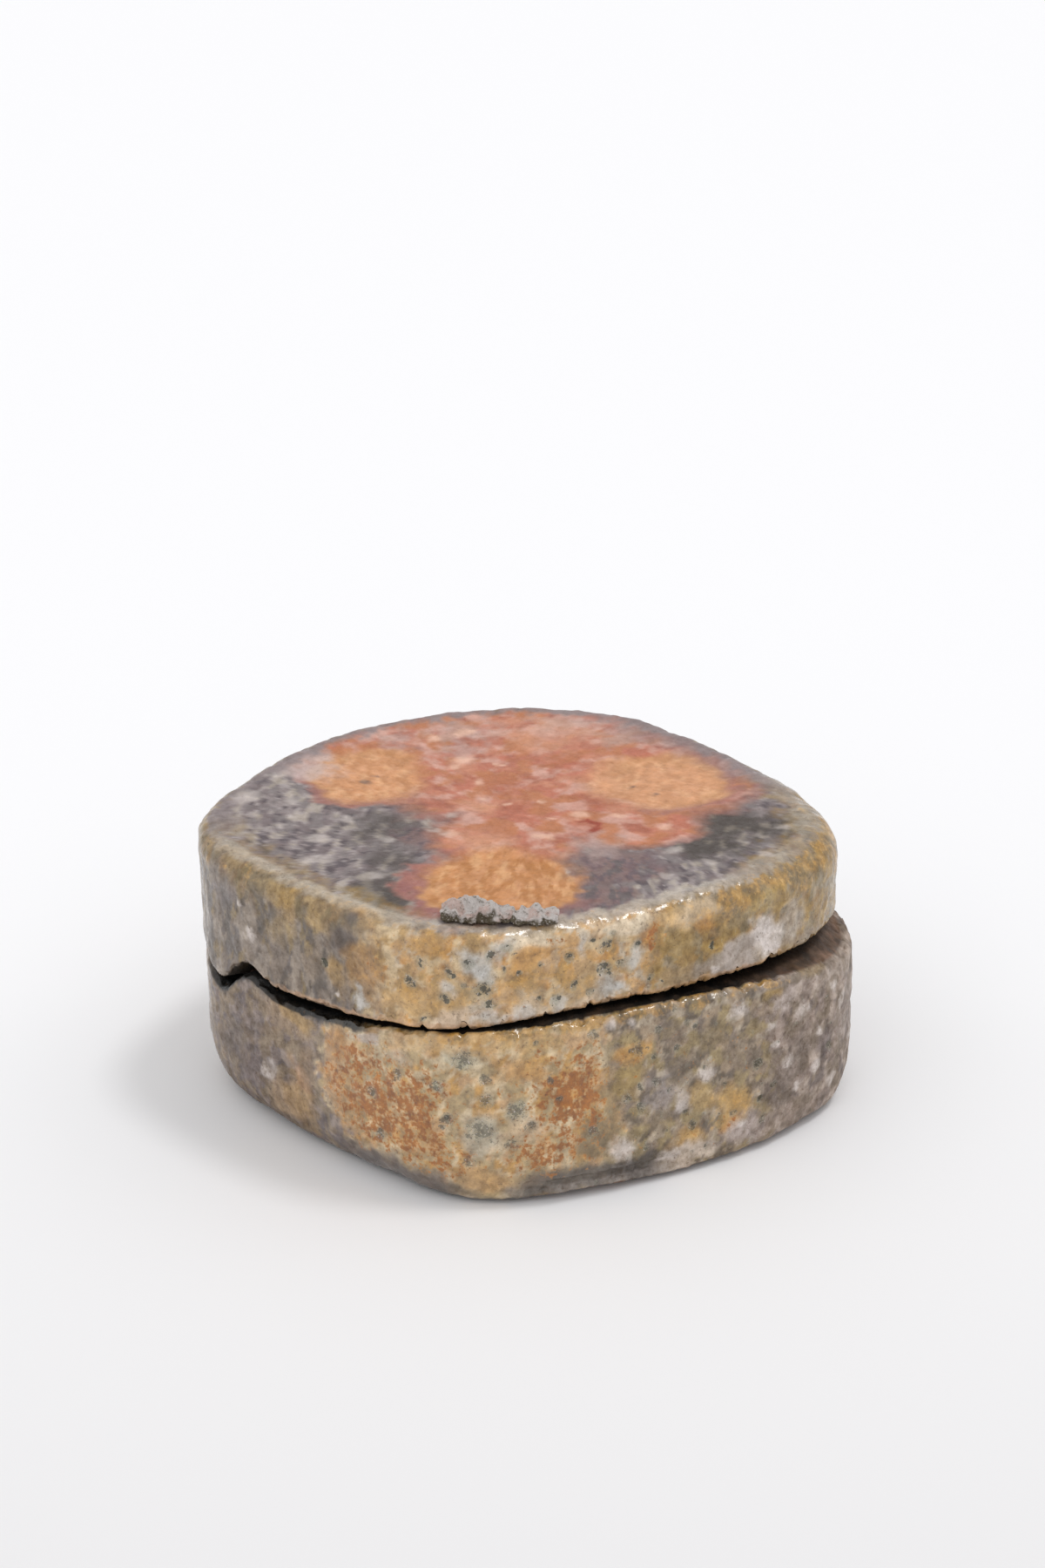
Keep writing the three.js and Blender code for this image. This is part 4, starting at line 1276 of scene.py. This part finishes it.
def dots(tree, per_mm, radius, share):
    """Small round domes, one to a cell of a Voronoi pattern, in the given share of the cells.
    The radius is in cells."""
    cell = node(tree, "TexVoronoi", {"Vector": object_place(tree), "Scale": per_mm / MM})
    chance = node(tree, "SeparateColor", {0: cell.outputs["Color"]}).outputs[0]
    disc = fade(tree, maths(tree, "SUBTRACT", radius, cell.outputs["Distance"]), 0, 0.7 * radius)
    return maths(tree, "MULTIPLY", disc, maths(tree, "LESS_THAN", chance, share))


def shards(tree, per_mm):
    """A random number for each cell of a Voronoi pattern, which gives a mask angular edges. The
    pattern is bent by noise of the same size as the bend."""
    place = object_place(tree)
    bend = node(tree, "TexNoise", {"Vector": place, "Scale": SHARD_BEND / MM, "Detail": 2.0})
    inputs = {0: bend.outputs["Color"], 1: (SHARD_BEND * MM,) * 3}
    bend = node(tree, "VectorMath", inputs, operation="MULTIPLY").outputs[0]
    bent = node(tree, "VectorMath", {0: place, 1: bend}, operation="ADD").outputs[0]
    cell = node(tree, "TexVoronoi", {"Vector": bent, "Scale": per_mm / MM})
    return node(tree, "SeparateColor", {0: cell.outputs["Color"]}).outputs[1]


def ashed(tree, ground, grains):
    """Golden ash, ochre over olive, in patches, and then patches of frost."""
    ochre = laid_over(tree, rgba(OLIVE), rgba(OCHRE), fade(tree, grains.coarse, 0.4, 0.52))
    ochre = laid_over(tree, ochre, rgba(PALE_OCHRE), fade(tree, grains.medium, 0.52, 0.68))
    spread = weighted(tree, (grains.broad, 0.5), (grains.coarse, 0.3), (grains.medium, 0.2))
    ash = patchy(tree, spread, amount(tree, "ash"), 0.06)
    ground = laid_over(tree, ground, ochre, times(tree, ash, 0.65))
    frost = weighted(tree, (amount(tree, "frost"), 0.5), (grains.coarse, 1.1))
    return tinted(tree, ground, ICE_GREY, fade(tree, frost, 0.45, 0.95), 0.7)


def rusted(tree, ground):
    """Granular rust: orange brown patches in a thinner tan halo."""
    rust = amount(tree, "rust")
    mottle = weighted(tree, (grain(tree, 0.9, 3, 0.5), 0.55), (grain(tree, 2.1, 3, 0.6), 0.45))
    halo = patchy(tree, mottle, times(tree, rust, 0.97), 0.08)
    ground = tinted(tree, ground, ORANGE_TAN, halo, 0.75)
    core = patchy(tree, mottle, times(tree, rust, 0.9), 0.055)
    return tinted(tree, ground, ORANGE_BROWN, core, 0.9)


def flecked(tree, ground, grains):
    """Pale stones with ragged borders."""
    inputs = (amount(tree, "fleck"), 1.0), (grains.medium, 0.5), (grains.coarse, 0.4)
    fleck = weighted(tree, *inputs, offset=-0.45)
    return tinted(tree, ground, PALE_STONE, fade(tree, fleck, -0.05, 0.8), 0.8)


def pitted(tree, ground, grains, speckle, strokes, haziness):
    """Pits: a grey haze with black pores, angular black holes, black pinholes and a few painted glints,
    pale dots that stand for highlights. Gives the colour, and how black it is."""
    pit = amount(tree, "pit")
    hollow = weighted(tree, (pit, 1.0), (grains.medium, 1.6), (grains.fine, 0.6), offset=-1.1)
    haze = fade(tree, hollow, -0.2, 0.4)
    ground = tinted(tree, ground, PIT_GREY, haze, haziness)
    pores = fade(tree, weighted(tree, (grains.dust, 0.5), (grains.fine, 0.5)), 0.54, 0.58)
    pores = maths(tree, "MULTIPLY", times(tree, pores, speckle), fade(tree, hollow, 0.0, 0.3))
    shard = weighted(tree, (pit, 1.0), (shards(tree, 1.9), 1.0), (grains.medium, 1.8), offset=-1.45)
    black = maths(tree, "MAXIMUM", pores, times(tree, fade(tree, shard, 0.5, 0.6), strokes))
    black = maths(tree, "MAXIMUM", black, fade(tree, pit, 1.02, 1.25))
    ground = tinted(tree, ground, PIT_BLACK, black, 0.85)
    # Painted glints: pale dots in the haze of the pits that stand for highlights
    painted_glints = maths(tree, "MULTIPLY", haze, fade(tree, grain(tree, 5.0, 1, 0.5), 0.66, 0.72))
    return laid_over(tree, ground, rgba(PALE_STONE), painted_glints), black


def shaded(tree, ground, grains, grit):
    """Darker and warmer hollows and paler rises, more so where the surface is gritty."""
    sizes = (grains.fine, 0.15), (grains.medium, 0.45), (grains.coarse, 0.6), (grains.dust, 0.1)
    shade = maths(tree, "MULTIPLY", weighted(tree, *sizes, offset=-0.65), grit)
    lit = weighted(tree, (shade, 2.4), (grit, -0.2), offset=0.6)
    gain = laid_over(tree, rgba(SHADED), rgba(SUNLIT), lit)
    return laid_over(tree, ground, gain, 1.0, "MULTIPLY")


def fired_clay(name, speckle, strokes, haziness):
    """Ash-glazed stoneware. The surface carries a ground colour and an amount of each finish,
    and noise finer than the mesh breaks each finish into ragged patches and gives it relief.
    Pits are filled with as much black speckle, as many angular holes and as much haze as given."""
    material, tree, shader = new_material(name)
    grains = SimpleNamespace(
        broad=grain(tree, 0.28, 5, 0.6),
        coarse=grain(tree, 0.6, 4, 0.58),
        medium=grain(tree, 1.5, 4, 0.62),
        fine=grain(tree, 3.6, 3, 0.65),
        dust=grain(tree, 8.0, 2, 0.6),
    )
    gloss, grit = amount(tree, "gloss"), amount(tree, "grit")
    colour = node(tree, "Attribute", attribute_name="ground").outputs["Color"]
    colour = rusted(tree, ashed(tree, colour, grains))
    colour = flecked(tree, colour, grains)
    colour, black = pitted(tree, colour, grains, speckle, strokes, haziness)
    specks = maths(tree, "MULTIPLY", fade(tree, grain(tree, 1.7, 4, 0.7), 0.6, 0.66), grit)
    colour = tinted(tree, colour, SPECK_BROWN, specks, 0.45)

    relief_sizes = (grains.coarse, 1.0), (grains.medium, 0.6), (grains.fine, 0.2), (grains.dust, 0.05)
    height = weighted(tree, *relief_sizes, (black, -1.0), (specks, -0.2))
    beads = dots(tree, 1.4, 0.36, 0.5)
    melted = weighted(tree, (grains.coarse, 0.4), (grains.medium, 0.3), (beads, 0.25))
    glazed = weighted(tree, (gloss, 1.0), (grains.medium, 0.5), offset=-0.25)
    strength = weighted(tree, (grit, 0.35), offset=0.15)
    set_inputs(tree, shader, {
        "Base Color": shaded(tree, colour, grains, grit),
        "Roughness": weighted(tree, (gloss, -0.25), (grains.medium, 0.4), (black, 0.2), offset=0.45),
        "Normal": ridges(tree, height, CLAY_RIDGES, strength),
        "Specular IOR Level": CLAY_SPECULAR,
        "Coat Weight": fade(tree, glazed, 0.0, 0.7),
        "Coat Roughness": GLAZE_ROUGHNESS,
        "Coat IOR": GLAZE_IOR,
        "Coat Normal": ridges(tree, melted, CLAY_RIDGES, 0.35),
    })
    return material


def wad_clay():
    """Dry white wad clay with sooty crevices and a few bright glassy grains."""
    material, tree, shader = new_material("dry_wad_clay")
    medium = grain(tree, 1.6, 5, 0.7)
    fine = grain(tree, 4.0, 3, 0.6)
    colour = node(tree, "Attribute", attribute_name="ground").outputs["Color"]
    colour = tinted(tree, colour, CRUST_DARK, fade(tree, medium, 0.52, 0.64), 0.7)
    set_inputs(tree, shader, {
        "Base Color": tinted(tree, colour, CRUST_PALE, fade(tree, fine, 0.55, 0.64), 0.7),
        "Roughness": weighted(tree, (fine, 1.6), offset=-0.15),
        "Normal": ridges(tree, weighted(tree, (medium, 1.0), (fine, 0.5)), WAD_RIDGES, 0.9),
    })
    return material


def put_in_place(piece, material, cad_node, body):
    """Gives a piece its finish and ties it to the frame."""
    piece.data.materials.append(material)
    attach(piece, body)
    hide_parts(cad_node)


put_in_place(make_base(), fired_clay("ash_glazed_base", 0.8, 0.7, 0.32), "box_base", "base")
put_in_place(make_lid(), fired_clay("ash_glazed_lid", 0.4, 1.0, 0.45), "lid", "lid")
crumb_clay = wad_clay()
for crumb_name, cad_node, *crumb_size in CRUMBS:
    put_in_place(make_crumb(crumb_name, *crumb_size), crumb_clay, cad_node, "lid")


# Floor, in metres: half its width, the way that leads away from the camera, and the stretch along that
# way over which it grows brighter, as painted light that fades towards the camera
FLOOR_HALF = 3.0
AWAY = (-0.755, 0.655, 0)
BRIGHTENING = (-0.16, 0.02)
FLOOR_NEAR = linear("e7e6e7")
FLOOR_FAR = linear("fafafc")

# Lights from far away: name, bearing and height in degrees, spread in degrees and strength
LIGHTS = [
    ("lamp", 58, 70, 12, 0.6),
    ("window", 45, 45, 60, 0.2),
    ("front_fill", 265, 36, 80, 0.45),
]
ROOM_LIGHT = 0.72

# Camera: place in mm from the axis of the cuts, lens and sensor in mm, tilt from looking
# straight down and turn from looking along +Y in degrees
CAMERA_PLACE = np.array([269.7, -234.0, 187.07])
CAMERA_LENS = 70
CAMERA_SENSOR = 36
CAMERA_TILT = 67.5
CAMERA_TURN = 49


def show(name, data):
    """Puts an object for the data into the scene."""
    shown = bpy.data.objects.new(name, data)
    bpy.context.scene.collection.objects.link(shown)
    return shown


def make_floor():
    """Pale floor, a little brighter away from the camera: painted light that fades towards the camera.
    """
    mesh = bpy.data.meshes.new("floor")
    corners = [(x * FLOOR_HALF, y * FLOOR_HALF, 0) for x, y in ((-1, -1), (1, -1), (1, 1), (-1, 1))]
    mesh.from_pydata(corners, [], [(0, 1, 2, 3)])
    material, tree, shader = new_material("pale_floor")
    inputs = {0: object_place(tree), 1: AWAY}
    apart = node(tree, "VectorMath", inputs, operation="DOT_PRODUCT").outputs["Value"]
    inputs = {"Value": apart, "From Min": BRIGHTENING[0], "From Max": BRIGHTENING[1]}
    painted_light_ramp = node(tree, "MapRange", inputs).outputs["Result"]
    set_inputs(tree, shader, {
        "Base Color": laid_over(tree, rgba(FLOOR_NEAR), rgba(FLOOR_FAR), painted_light_ramp),
        "Roughness": 0.9,
        "Specular IOR Level": 0.1,
    })
    mesh.materials.append(material)
    show("floor", mesh)


def add_sun(name, bearing, elevation, spread, strength):
    """Light from far away, from a bearing and elevation, as soft as the sky it spreads over."""
    data = bpy.data.lights.new(name, "SUN")
    data.angle = math.radians(spread)
    data.energy = strength
    show(name, data).rotation_euler = (0, math.radians(90 - elevation), math.radians(bearing))


def light_room():
    """White light from all round, shown as it is."""
    world = bpy.data.worlds.new("soft_room")
    world.use_nodes = True
    background = world.node_tree.nodes["Background"]
    set_inputs(world.node_tree, background, {"Color": (1, 1, 1, 1), "Strength": ROOM_LIGHT})
    bpy.context.scene.world = world
    bpy.context.scene.view_settings.view_transform = "Standard"


def place_camera():
    """Camera where the photograph was taken from, as the outline of the box tells."""
    data = bpy.data.cameras.new("camera")
    data.lens = CAMERA_LENS
    data.sensor_width = CAMERA_SENSOR
    camera = show("camera", data)
    camera.location = (CAMERA_PLACE + AXIS) * MM
    camera.rotation_euler = (math.radians(CAMERA_TILT), 0, math.radians(CAMERA_TURN))
    bpy.context.scene.camera = camera


make_floor()
for light in LIGHTS:
    add_sun(*light)
light_room()
place_camera()
